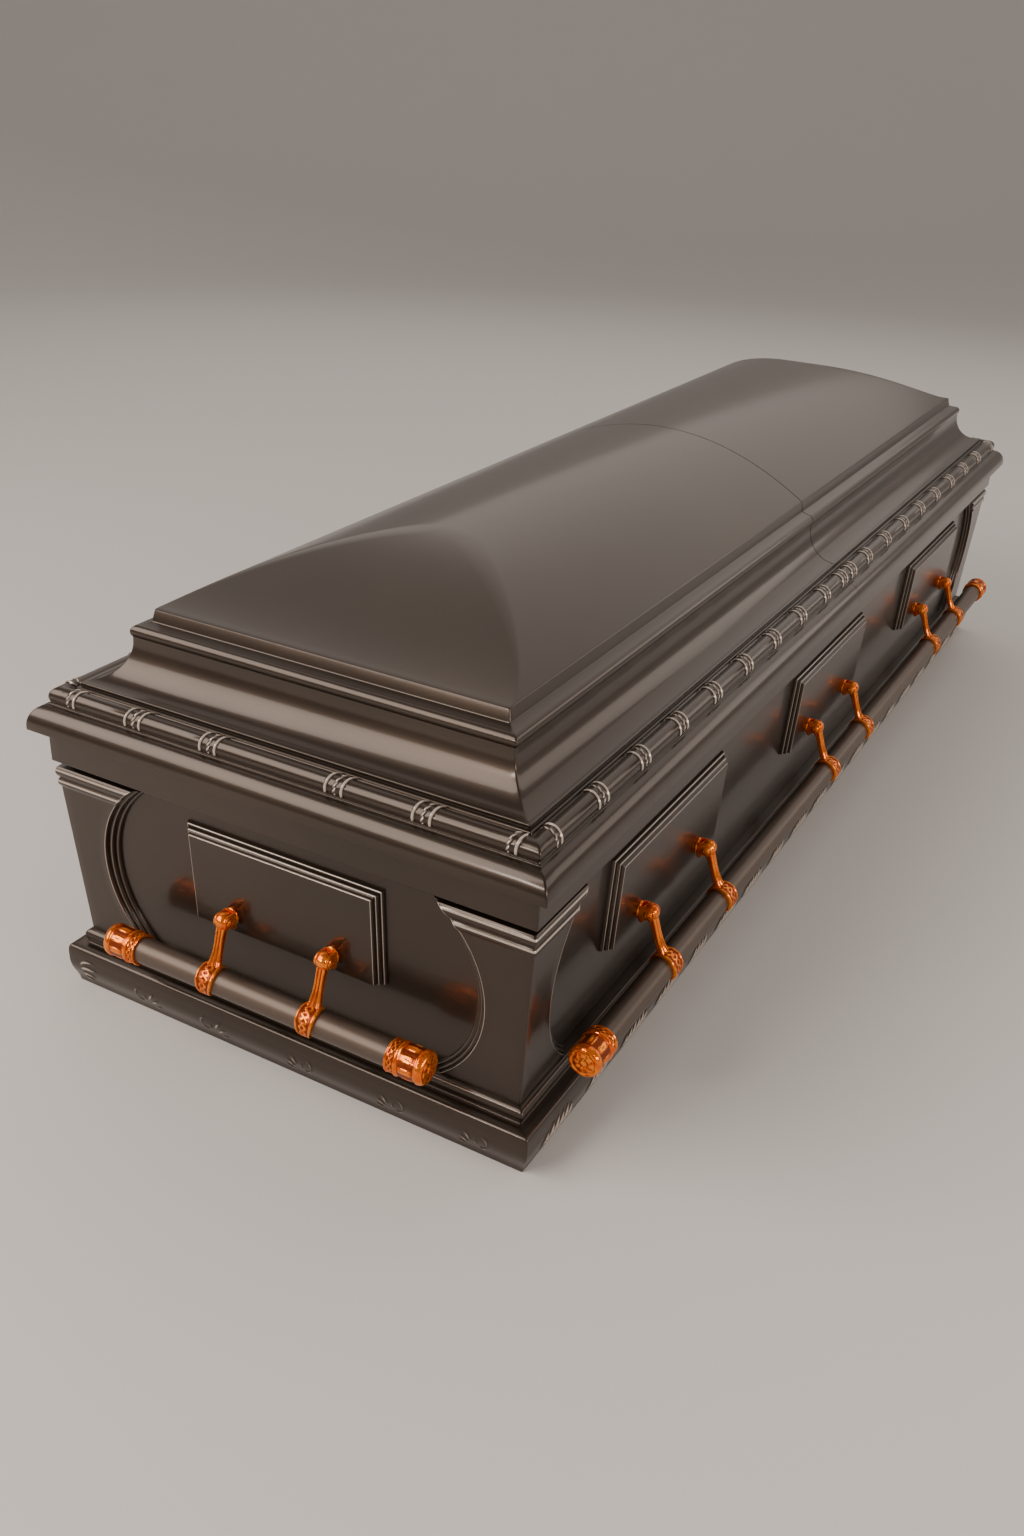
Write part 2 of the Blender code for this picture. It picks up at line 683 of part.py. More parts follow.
def arm_stem(along):
    """Tapered four-sided stem between the knuckle and the collar, flared towards the collar."""
    centre = bar_centre()
    length = centre.length
    down = centre.normalized()
    across = Vector((1.0, 0.0, 0.0))
    out = down.cross(across)
    collar_bore = circumscribed(BAR_RADIUS + SEAT_GAP, COLLAR_SIDES)
    start = PIN_RADIUS + PIN_GAP + COLLAR_WALL
    end = length - collar_bore - COLLAR_WALL / 4
    waist = start + (end - start) * STEM_WAIST_SHARE
    sections = ((start, STEM_TOP_WIDTH), (waist, STEM_WAIST_WIDTH), (end, STEM_FOOT_WIDTH))
    points = []
    for reach, width in sections:
        for a, b in ((-1, -1), (1, -1), (1, 1), (-1, 1)):
            points.append(down * reach + across * (a * width / 2 + along) + out * (b * STEM_DEPTH / 2))
    faces = [(3, 2, 1, 0), (8, 9, 10, 11)]
    for level in range(2):
        for side in range(4):
            turn = (side + 1) % 4
            low = 4 * level
            faces.append((low + side, low + turn, low + 4 + turn, low + 4 + side))
    return solid("stem", points, faces, "polished_copper", smooth=True)


def handle_arm(name, along):
    """Arm: a knuckle on the pin, a tapered stem and a collar round the bar."""
    bore = circumscribed(PIN_RADIUS + PIN_GAP, PIN_SIDES)
    arm = lathe_x(name, ring_profile(KNUCKLE_WIDTH / 2, bore, KNUCKLE_RADIUS), KNUCKLE_SIDES, "polished_copper")
    arm.data.transform(Matrix.Translation((along, 0.0, 0.0)))
    combine(arm, arm_stem(along), "UNION")
    collar_bore = circumscribed(BAR_RADIUS + SEAT_GAP, COLLAR_SIDES)
    profile = ring_profile(COLLAR_WIDTH / 2, collar_bore, collar_bore + COLLAR_WALL)
    collar = lathe_x("collar", profile, COLLAR_SIDES, "polished_copper")
    collar.data.transform(Matrix.Translation(bar_centre() + Vector((along, 0.0, 0.0))))
    combine(arm, collar, "UNION")
    return arm


def handle_lug(name):
    """Forked lug on the panel that holds the pin, seen from the pin with the panel behind it."""
    behind = (panel_inset(PIN_HEIGHT) - PIN_INSET) * math.cos(field_slope()) - SEAT_GAP
    inner = KNUCKLE_WIDTH / 2 + PIN_GAP
    outer = inner + LUG_CHEEK
    plan = [(-outer, behind), (-outer, -LUG_NOSE), (-inner, -LUG_NOSE), (-inner, behind - LUG_PLATE),
            (inner, behind - LUG_PLATE), (inner, -LUG_NOSE), (outer, -LUG_NOSE), (outer, behind)]
    points = [(x, y, z) for z in (-LUG_HEIGHT / 2, LUG_HEIGHT / 2) for x, y in plan]
    count = len(plan)
    faces = [tuple(reversed(range(count))), tuple(range(count, 2 * count))]
    faces += [(k, (k + 1) % count, (k + 1) % count + count, k + count) for k in range(count)]
    lug = solid(name, points, faces, "polished_copper")
    pin_half = inner + LUG_CHEEK / 2
    pin = lathe_x("pin", [(-pin_half, 0.0), (-pin_half, PIN_RADIUS), (pin_half, PIN_RADIUS), (pin_half, 0.0)],
                  PIN_SIDES, "polished_copper")
    combine(lug, pin, "UNION")
    lug.data.transform(Matrix.Rotation(field_slope(), 4, "X"))
    return lug


def arm_places(side):
    """Places of the arms along one side."""
    if side in ("head", "foot"):
        return [-END_ARM_OFFSET, END_ARM_OFFSET]
    places, _ = panel_places(side)
    return [place + shift for place in places for shift in (-ARM_OFFSET, ARM_OFFSET)]


def handle(side):
    """One whole handle: its moving pieces hang from an empty on the pins' axis."""
    pivot = bpy.data.objects.new(side + "_handle_pivot", None)
    pivot.matrix_world = side_matrix(side) @ Matrix.Translation((0.0, PIN_INSET - SIDES[side][1], PIN_HEIGHT))
    bpy.context.scene.collection.objects.link(pivot)
    half = SIDE_BAR_HALF if side in ("front", "back") else END_BAR_HALF
    moving = [handle_bar(side + "_bar", half)]
    for label, sign in (("left", -1.0), ("right", 1.0)):
        moving.append(handle_cap(side + "_cap_" + label, half, sign))
    lugs = []
    for number, along in enumerate(arm_places(side), start=1):
        moving.append(handle_arm(f"{side}_arm_{number}", along))
        lug = handle_lug(f"{side}_lug_{number}")
        lug.data.transform(Matrix.Translation((along, 0.0, 0.0)))
        lugs.append(lug)
    for thing in moving + lugs:
        thing.parent = pivot
        thing.matrix_parent_inverse = Matrix.Identity(4)


def build():
    """Build the whole casket."""
    clear_scene()
    body_shell()
    base_moulding()
    for name, end_sign in (("head", -1.0), ("foot", 1.0)):
        rim_half("rim_" + name, end_sign)
        lid_half("lid_" + name, end_sign)
    for side in SIDES:
        handle(side)
    bpy.context.view_layer.update()


build()
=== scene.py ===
"""Looks of the sheet-metal casket: its mouldings, lids and handles with their finishes, floor, light, camera.

Metres, +Z up. X runs along the casket with the head end at -X, and the front long side faces -Y.
A profile point is (inset, height): inset is measured inwards from the rim's widest edge.
"""

from __future__ import annotations

import json
import logging
import math
from dataclasses import dataclass, field
from enum import Enum
from functools import cached_property
from typing import Any, Callable, Sequence

import bmesh
import bpy
import numpy as np
from mathutils import Matrix, Vector
from numpy.typing import NDArray

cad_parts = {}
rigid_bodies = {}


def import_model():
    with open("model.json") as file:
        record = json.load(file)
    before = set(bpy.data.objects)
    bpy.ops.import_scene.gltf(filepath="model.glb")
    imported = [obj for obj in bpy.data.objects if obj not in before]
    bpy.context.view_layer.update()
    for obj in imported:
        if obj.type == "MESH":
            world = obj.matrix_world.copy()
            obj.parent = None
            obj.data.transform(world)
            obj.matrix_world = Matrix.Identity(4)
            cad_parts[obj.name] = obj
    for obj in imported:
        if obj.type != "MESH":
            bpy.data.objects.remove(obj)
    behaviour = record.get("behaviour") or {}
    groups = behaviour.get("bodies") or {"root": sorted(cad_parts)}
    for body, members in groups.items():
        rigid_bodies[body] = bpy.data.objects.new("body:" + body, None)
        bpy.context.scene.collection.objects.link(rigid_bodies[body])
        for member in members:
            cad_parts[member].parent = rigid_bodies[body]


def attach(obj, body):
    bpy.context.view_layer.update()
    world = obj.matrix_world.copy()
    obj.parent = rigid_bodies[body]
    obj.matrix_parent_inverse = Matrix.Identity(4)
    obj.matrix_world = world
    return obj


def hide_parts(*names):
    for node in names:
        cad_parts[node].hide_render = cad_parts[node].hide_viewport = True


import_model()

Array = NDArray[np.float64]
Indices = NDArray[np.int64]
Point = tuple[float, float]
Colour = tuple[float, float, float]
Place = tuple[float, float, float]
MM = 0.001
# Length and width over the rim's widest edge.
LENGTH = 2.130
WIDTH = 0.740
# Length that a walk round the casket counts to each side, more than any side has.
SIDE_SPAN = 10.0
# Even columns end this far before a corner.
COLUMN_MARGIN = 30.0 * MM
# Angles of the columns on half of a rounded corner, from its mitre to its start, in degrees.
CORNER_TURNS = (45.0, 30.0, 15.0, 0.0)
log = logging.getLogger("casket")


class Side(Enum):
    """The four sides, in the order in which a walk round the casket meets them."""

    FRONT = "front"
    FOOT = "foot"
    BACK = "back"
    HEAD = "head"

    @property
    def turn(self) -> float:
        """Turn about Z that carries a thing made on the front to this side, in radians."""
        quarters = {Side.FRONT: 0, Side.FOOT: 1, Side.BACK: 2, Side.HEAD: 3}
        return quarters[self] * math.pi / 2

    @property
    def long(self) -> bool:
        """True for the two long sides."""
        return self in (Side.FRONT, Side.BACK)

    @property
    def reach(self) -> float:
        """Distance from the middle of the casket out to the rim's widest edge on this side."""
        return WIDTH / 2 if self.long else LENGTH / 2

    @property
    def half(self) -> float:
        """Half of this side's own length."""
        return LENGTH / 2 if self.long else WIDTH / 2

    def place(self, along: Array, inset: Array, height: Array) -> Array:
        """World points of places along this side.

        Args:
            along: place along the side, to the right for someone who faces it.
            inset: distance inwards from the rim's widest edge.
            height: height above the floor.

        Returns:
            An array of points, one more axis than the broadcast arguments.
        """
        along, inset, height = np.broadcast_arrays(along, inset, height)
        out = self.reach - inset
        cosine, sine = round(math.cos(self.turn)), round(math.sin(self.turn))
        return np.stack([cosine * along + sine * out, sine * along - cosine * out, height], axis=-1)


class End(Enum):
    """The two ends that the rim and the lid are made for."""

    HEAD = "head"
    FOOT = "foot"


@dataclass(frozen=True)
class Run:
    """One side's stretch of columns in a sweep, by their nominal places along it."""

    side: Side
    nominal: Array


def walk(runs: Sequence[Run]) -> Array:
    """How far each column is on a walk along the runs, with SIDE_SPAN counted to a side."""
    return np.concatenate([run.nominal + SIDE_SPAN * k for k, run in enumerate(runs)])


def arc(centre: Point, radii: Point, start: float, end: float, steps: int) -> Array:
    """Points on an ellipse between two angles in degrees, both ends kept."""
    angles = np.radians(np.linspace(start, end, steps + 1))
    return np.stack([centre[0] + radii[0] * np.cos(angles), centre[1] + radii[1] * np.sin(angles)], axis=1)


def softened(points: Sequence[Place], steps: int = 4) -> Array:
    """A polyline whose corners are rounded.

    Args:
        points: (x, y, cut) corners. The rounding starts and ends at a distance of cut from the corner.
        steps: segments in each rounding.

    Returns:
        The rounded line: each corner is a quadratic curve between its two cut points.
    """
    corners = np.array(points, dtype=float)
    line = [corners[0, :2]]
    for before, corner, after in zip(corners[:-2], corners[1:-1], corners[2:]):
        here = corner[:2]
        back, ahead = before[:2] - here, after[:2] - here
        start = here + back * min(0.49, corner[2] / np.linalg.norm(back))
        stop = here + ahead * min(0.49, corner[2] / np.linalg.norm(ahead))
        if corner[2] <= 0.0:
            line.append(here)
            continue
        for share in np.linspace(0.0, 1.0, steps + 1):
            line.append((1 - share) ** 2 * start + 2 * share * (1 - share) * here + share ** 2 * stop)
    line.append(corners[-1, :2])
    return np.array(line)


def left_normals(line: Array) -> Array:
    """Unit normals to the left of an open line, averaged at its corners.

    Args:
        line: points of the line.

    Returns:
        One normal for each point.
    """
    step = np.diff(line, axis=0)
    step /= np.maximum(np.linalg.norm(step, axis=1), 1e-12)[:, None]
    mean = np.vstack([step[:1], step[:-1] + step[1:], step[-1:]])
    mean /= np.maximum(np.linalg.norm(mean, axis=1), 1e-12)[:, None]
    return np.stack([-mean[:, 1], mean[:, 0]], axis=1)


def offset_left(line: Array, distance: float) -> Array:
    """Shift an open line sideways, with mitred corners.

    Args:
        line: points of the line.
        distance: how far it goes to its left.

    Returns:
        The shifted points.
    """
    step = np.diff(line, axis=0)
    step /= np.linalg.norm(step, axis=1)[:, None]
    normal = np.stack([-step[:, 1], step[:, 0]], axis=1)
    before, after = np.vstack([normal[:1], normal]), np.vstack([normal, normal[-1:]])
    mitre = before + after
    mitre /= np.maximum(np.sum(mitre * before, axis=1), 0.5)[:, None]
    return line + distance * mitre


def squeezed(nominal: Array, keep: Array | float, full: float, half: Array | float, corner: float,
             row_corner: Array | float) -> Array:
    """Nominal places fitted to a side of another length.

    Args:
        nominal: places along a side whose half length is full.
        keep: places nearer the middle than this stay as they are.
        full: nominal half length.
        half: half length that full is brought to.
        corner: nominal length of the rounded corner at the end.
        row_corner: length that the rounded corner is brought to.

    Returns:
        The fitted places.
    """
    size = np.abs(nominal)
    beyond = np.clip(size - keep, 0.0, full - corner - keep)
    share = (half - row_corner - keep) / (full - corner - keep)
    last = np.maximum(size - (full - corner), 0.0) * row_corner / corner
    return np.sign(nominal) * (np.minimum(size, keep) + beyond * share + last)


def corner_columns(half: float, corner: float) -> Array:
    """Columns on the rounded corner at both ends of a side, up to the mitre."""
    from_corner = corner * (1.0 - np.sin(np.radians(CORNER_TURNS)))
    return np.concatenate([-half + from_corner, half - from_corner])


def corner_rounding(from_corner: Array, corner: Array | float) -> Array:
    """How far a rounded corner falls back at a distance from the sharp one."""
    turn = np.clip(1.0 - from_corner / np.maximum(corner, 1e-9), 0.0, 1.0)
    return corner * (1.0 - np.sqrt(np.clip(1.0 - turn ** 2, 0.0, 1.0)))


def bump(distance: Array, width: float | Array) -> Array:
    """Rounded hump of height 1 that falls to 0 at a distance of width."""
    return np.clip(1.0 - (distance / width) ** 2, 0.0, None) ** 1.5


def step_up(value: Array, low: float, high: float) -> Array:
    """Smooth rise from 0 at low to 1 at high."""
    share = np.clip((value - low) / (high - low), 0.0, 1.0)
    return share * share * (3.0 - 2.0 * share)


def quarter(value: Array, low: float, high: float) -> Array:
    """Rise from 0 at low to 1 at high along a quarter of an ellipse, steep at first."""
    share = np.clip((value - low) / (high - low), 0.0, 1.0)
    return np.sqrt(np.clip(1.0 - (1.0 - share) ** 2, 0.0, None))


def merged(*places: Sequence[float] | Array, least: float = 0.15 * MM) -> Array:
    """Several lists of places made into one.

    Args:
        places: the lists, in any order.
        least: a place closer than this to the one before it is left out.

    Returns:
        The places in rising order.
    """
    every = np.sort(np.concatenate([np.asarray(part, dtype=float).ravel() for part in places]))
    kept = [every[0]]
    for value in every[1:]:
        if value - kept[-1] >= least:
            kept.append(value)
    return np.array(kept)


@dataclass
class Surface:
    """Gathers the grids and caps of one piece and welds them into one mesh."""

    _points: list[Array] = field(default_factory=list)
    _raised: list[Array] = field(default_factory=list)
    _quads: list[Indices] = field(default_factory=list)
    _caps: list[list[int]] = field(default_factory=list)
    _count: int = 0
    weld: float = 0.001 * MM

    def grid(self, points: Array, raised: Array | None = None, close_rows: bool = False,
             close_columns: bool = False) -> Indices:
        """Add a grid of points and its faces.

        Args:
            points: rows by columns by 3.
            raised: how far each point stands proud as ornament, 0 to 1, or is sunk, down to -1; the finishes
                paint highlight where it stands proud and shade where it is sunk.
            close_rows: join the last row to the first.
            close_columns: join the last column to the first.

        Returns:
            The index of each point.
        """
        rows, columns = points.shape[:2]
        index = np.arange(rows * columns).reshape(rows, columns) + self._count
        self._points.append(points.reshape(-1, 3))
        self._raised.append((np.zeros((rows, columns)) if raised is None else raised).reshape(-1))
        self._count += rows * columns
        if close_rows:
            index = np.vstack([index, index[:1]])
        if close_columns:
            index = np.hstack([index, index[:, :1]])
        corners = (index[:-1, :-1], index[:-1, 1:], index[1:, 1:], index[1:, :-1])
        self._quads.append(np.stack([corner.reshape(-1) for corner in corners], axis=1))
        return index

    def strip(self, first: Indices, second: Indices) -> None:
        """Join two rows of points, of the same length, that grids have added."""
        self._quads.append(np.stack([first[:-1], first[1:], second[1:], second[:-1]], axis=1))

    def stitch(self, dense: Indices, dense_walk: Array, coarse: Indices, coarse_walk: Array) -> None:
        """Join a row of many points to a parallel row of few, by one flat face to each coarse segment.

        Args:
            dense: indices of the row of many points.
            dense_walk: how far along the walk each of its points is, rising.
            coarse: indices of the row of few points.
            coarse_walk: the same for its points.
        """
        match = np.clip(np.searchsorted(dense_walk, coarse_walk - 1e-7), 0, len(dense) - 1)
        match[-1] = len(dense) - 1
        for k in range(len(coarse) - 1):
            self._caps.append([int(coarse[k]), int(coarse[k + 1])]
                              + [int(index) for index in dense[match[k]:match[k + 1] + 1][::-1]])

    def cap(self, loop: Sequence[int]) -> None:
        """Add one flat face through a loop of points that grids have added."""
        self._caps.append([int(index) for index in loop])

    def turned(self, profile: Array, sides: int,
               relief: Callable[[Array, Array], tuple[Array, Array]] | None = None) -> None:
        """Add a closed form turned about the X axis.

        Args:
            profile: closed loop, or a line from axis to axis, of (along, radius) points.
            sides: number of columns round the axis.
            relief: from the row's place along the axis and the angle, what is added to the radius and
                how far each point is raised (or sunk, below 0).
        """
        angles = np.linspace(0.0, 2.0 * math.pi, sides, endpoint=False)[None, :]
        radius = np.repeat(profile[:, 1:2], sides, axis=1)
        raised = np.zeros_like(radius)
        if relief is not None:
            lift, raised = relief(profile[:, :1], angles)
            radius = radius + np.where(radius > 0.0, lift, 0.0)
        along = np.repeat(profile[:, :1], sides, axis=1)
        points = np.stack([along, radius * np.cos(angles), radius * np.sin(angles)], axis=-1)
        on_axis = profile[0, 1] == 0.0 and profile[-1, 1] == 0.0
        self.grid(points, raised, close_rows=not on_axis, close_columns=True)

    def transform(self, matrix: Matrix) -> None:
        """Move every point gathered so far by the matrix."""
        turn, shift = np.array(matrix.to_3x3()), np.array(matrix.translation)
        self._points = [points @ turn.T + shift for points in self._points]

    def build(self, name: str, sharp_degrees: float = 32.0) -> bpy.types.Object:
        """Weld the points, turn the faces outwards and make the object.

        Args:
            name: name of the object.
            sharp_degrees: edges between faces that turn by more than this are shaded sharp.

        Returns:
            The object, linked to the scene.
        """
        points = np.vstack(self._points)
        raised = np.concatenate(self._raised)
        keys = np.round(points / self.weld).astype(np.int64)
        _, first, index = np.unique(keys, axis=0, return_index=True, return_inverse=True)
        index = index.reshape(-1)
        quads = index[np.vstack(self._quads)]
        same = quads == np.roll(quads, -1, axis=1)
        faces = [quad.tolist() for quad in quads[same.sum(axis=1) == 0]]
        for quad, match in zip(quads[same.sum(axis=1) == 1], same[same.sum(axis=1) == 1]):
            faces.append(quad[~match].tolist())
        for loop in self._caps:
            corners = index[np.array(loop)]
            faces.append(corners[corners != np.roll(corners, -1)].tolist())
        faces = [face for face in faces if len(set(face)) == len(face) > 2]
        mesh = bpy.data.meshes.new(name)
        starts = np.cumsum([0] + [len(face) for face in faces[:-1]])
        flat = np.concatenate([np.array(face) for face in faces])
        mesh.vertices.add(len(first))
        mesh.vertices.foreach_set("co", points[first].ravel())
        mesh.loops.add(len(flat))
        mesh.loops.foreach_set("vertex_index", flat)
        mesh.polygons.add(len(faces))
        mesh.polygons.foreach_set("loop_start", starts)
        mesh.update(calc_edges=True)
        made = bmesh.new()
        made.from_mesh(mesh)
        bmesh.ops.recalc_face_normals(made, faces=made.faces)
        made.to_mesh(mesh)
        made.free()
        mesh.polygons.foreach_set("use_smooth", np.ones(len(mesh.polygons), dtype=bool))
        mesh.set_sharp_from_angle(angle=math.radians(sharp_degrees))
        layer = mesh.attributes.new("raised", "FLOAT", "POINT")
        layer.data.foreach_set("value", raised[first].astype(np.float32))
        thing = bpy.data.objects.new(name, mesh)
        bpy.context.scene.collection.objects.link(thing)
        return thing


@dataclass(frozen=True)
class Stroke:
    """One raised leaf-shaped stroke: a curve from start to end, pulled towards bend.

    Places are (along, up) on the moulding's face, in metres. A blunt stroke, with blunt near 0, keeps
    its width to its ends.
    """

    start: Point
    bend: Point
    end: Point
    width: float
    height: float
    blunt: float = 0.5

    def lift(self, along: Array, up: Array) -> Array:
        """Height of the stroke: the highest of the humps along its curve.

        Args:
            along: places along the moulding, from the middle of the motif.
            up: places up its face.

        Returns:
            The height at each place.
        """
        share = np.linspace(0.0, 1.0, 19)
        start, bend, end = np.array(self.start), np.array(self.bend), np.array(self.end)
        curve = ((1 - share) ** 2)[:, None] * start + (2 * share * (1 - share))[:, None] * bend
        curve = curve + (share ** 2)[:, None] * end
        width = self.width * np.maximum(np.sin(math.pi * share) ** self.blunt, 0.3)
        apart = np.hypot(along[..., None] - curve[:, 0], up[..., None] - curve[:, 1])
        return self.height * np.max(bump(apart, width) * (width / self.width), axis=-1)


@dataclass(frozen=True)
class Motif:
    """Strokes that are set together, with the half width of the stretch they take."""

    strokes: tuple[Stroke, ...]
    half: float


class Relief:
    """Raised ornament on the face of a swept moulding."""

    def places(self, side: Side) -> Sequence[float]:
        """Centres of the ornament along one side."""
        raise NotImplementedError

    def columns(self, side: Side) -> Array:
        """Extra columns that the ornament needs along one side."""
        raise NotImplementedError

    def lift(self, side: Side, nominal: Array) -> Array:
        """Height of the ornament, rows of the profile by columns."""
        raise NotImplementedError


@dataclass(frozen=True)
class Sweep:
    """Carries a moulding's profile round the casket, with rounded mitres.

    The profile is cut into blocks. A block that carries ornament has many columns and the plain ones
    have few, and they are stitched where they meet. Columns are drawn together in the margin, a stretch
    before each corner, and corner is the radius of the rounding.
    """

    margin: float
    corner: float
    corner_clear: float = 6.0 * MM
    full_height: float = 2.0 * MM

    def points(self, profile: Array, runs: Sequence[Run],
               relief: Relief | None = None) -> tuple[Array, Array]:
        """Points of a block.

        Args:
            profile: (inset, height) of its rows.
            runs: its columns.
            relief: the ornament, if it carries any.

        Returns:
            The points, rows by columns by 3, and how far each is raised, 0 to 1.
        """
        normals = left_normals(profile)
        blocks, heights = [], []
        for run in runs:
            lift = np.zeros((len(profile), len(run.nominal)))
            if relief is not None:
                lift = relief.lift(run.side, run.nominal)
            inset, height = profile[:, :1], profile[:, 1:]
            half = run.side.half - inset
            keep = np.minimum(run.side.half - self.margin, half - self.corner - self.corner_clear)
            along = squeezed(run.nominal[None, :], keep, run.side.half, half, self.corner, self.corner)
            fall = corner_rounding(half - np.abs(along), self.corner)
            blocks.append(run.side.place(along, inset + fall + normals[:, :1] * lift,
                                         height + normals[:, 1:] * lift))
            heights.append(lift)
        # The ornament's height is also the mask of its painted highlight.
        raised = np.clip(np.concatenate(heights, axis=1) / self.full_height, 0.0, 1.0)
        return np.concatenate(blocks, axis=1), raised

    def sheet(self, surface: Surface, blocks: Sequence[tuple[Array, bool]], inner: Array,
              dense: Sequence[Run], coarse: Sequence[Run], relief: Relief, closed: bool) -> None:
        """Add a bent sheet: its outside in blocks, its inside and the edges between them.

        Args:
            surface: the surface that takes them.
            blocks: profiles of the outside in order, each with True where it carries the ornament.
            inner: profile of the inside.
            dense: runs of the ornamented blocks.
            coarse: runs of the plain blocks and of the inside.
            relief: the ornament.
            closed: True where the sheet runs round the whole casket, False where its ends need faces.
        """
        walks = {True: walk(dense), False: walk(coarse)}
        closing = SIDE_SPAN * len(Side) + coarse[0].nominal[0]
        if closed:
            walks = {key: np.append(walk, closing) for key, walk in walks.items()}
        grids = []
        for profile, ornate in blocks:
            runs, raised_by = (dense, relief) if ornate else (coarse, None)
            points, raised = self.points(profile, runs, raised_by)
            grids.append((surface.grid(points, raised, close_columns=closed), ornate))
        for (below, below_ornate), (above, above_ornate) in zip(grids[:-1], grids[1:]):
            if below_ornate == above_ornate:
                surface.strip(below[-1], above[0])
            elif below_ornate:
                surface.stitch(below[-1], walks[True], above[0], walks[False])
            else:
                surface.stitch(above[0], walks[True], below[-1], walks[False])
        inside = surface.grid(self.points(inner, coarse)[0], close_columns=closed)
        surface.strip(grids[0][0][0], inside[0])
        surface.strip(grids[-1][0][-1], inside[-1])
        if closed:
            return
        for column in (0, -1):
            outside = [int(index) for grid, _ in grids for index in grid[:, column]]
            surface.cap(outside + [int(index) for index in inside[::-1, column]])


def half_runs(columns: Callable[[Side], Array], end: End, gap: float) -> list[Run]:
    """Runs from the joint at mid-length round one end and back to the joint.

    Args:
        columns: gives the columns of a side.
        end: the end that the runs go round.
        gap: width of the joint.

    Returns:
        Three runs: half a long side, the end and half of the other long side.
    """
    right, left = (Side.FRONT, Side.BACK) if end is End.FOOT else (Side.BACK, Side.FRONT)
    middle = Side.FOOT if end is End.FOOT else Side.HEAD
    out, home = columns(right), columns(left)
    least = 0.5 * MM
    out = np.concatenate([[gap / 2], out[out > gap / 2 + least]])
    home = np.concatenate([home[home < -gap / 2 - least], [-gap / 2]])
    return [Run(right, out), Run(middle, columns(middle)), Run(left, home)]


def full_runs(columns: Callable[[Side], Array]) -> list[Run]:
    """Runs round all four sides."""
    return [Run(side, columns(side)) for side in Side]


@dataclass(frozen=True)
class Columns:
    """Columns of a swept moulding along each side."""

    corner: float
    long_count: int
    short_count: int
    relief: Relief
    corner_clear: float = 0.0

    def plain(self, side: Side) -> Array:
        """Even columns of a plain block, with those of the rounded corners.

        Args:
            side: the side they are for.

        Returns:
            Their nominal places.
        """
        half = side.half - COLUMN_MARGIN
        inner = np.linspace(-half, half, self.long_count if side.long else self.short_count)
        return merged(corner_columns(side.half, self.corner), inner)

    def ornate(self, side: Side) -> Array:
        """The plain columns and those of the ornament that are clear of the corners."""
        extra = self.relief.columns(side)
        return merged(self.plain(side), extra[np.abs(extra) < side.half - self.corner_clear])


@dataclass(frozen=True)
class RimSizes:
    """Levels of the rim moulding's profile, and the numbers of its steps and columns."""

    return_inset: float = 35.7 * MM
    apron_foot: float = 340.0 * MM
    apron_inset: float = 18.0 * MM
    nose_height: float = 398.0 * MM
    nose_radius: float = 12.0 * MM
    nose_under: float = 385.6 * MM
    nose_over: float = 418.0 * MM
    bead_inset: float = 34.0 * MM
    bead_height: float = 428.0 * MM
    bead_radius: float = 12.5 * MM
    bead_foot: float = 210.0
    bead_quirk: float = 35.0
    seat_inset: float = 46.5 * MM
    seat_height: float = 438.7 * MM
    seat_width: float = 26.0 * MM
    turn_down: float = 10.0 * MM
    sheet: float = 1.5 * MM
    joint_gap: float = 0.6 * MM
    margin: float = 45.0 * MM
    corner: float = 2.2 * MM
    nose_turn: tuple[float, float] = (187.0, 95.0)
    nose_steps: int = 26
    bead_steps: int = 27
    quirk_inset: float = 45.0 * MM
    quirk_height: float = 435.4 * MM
    neck: tuple[Point, Point] = ((17.2 * MM, 414.0 * MM), (20.4 * MM, 418.2 * MM))
    long_columns: int = 33
    short_columns: int = 11


@dataclass(frozen=True)
class Ring:
    """One ring of a group on the bead: its place from the group's middle, half width and height."""

    offset: float
    width: float
    height: float
    notched: bool = False


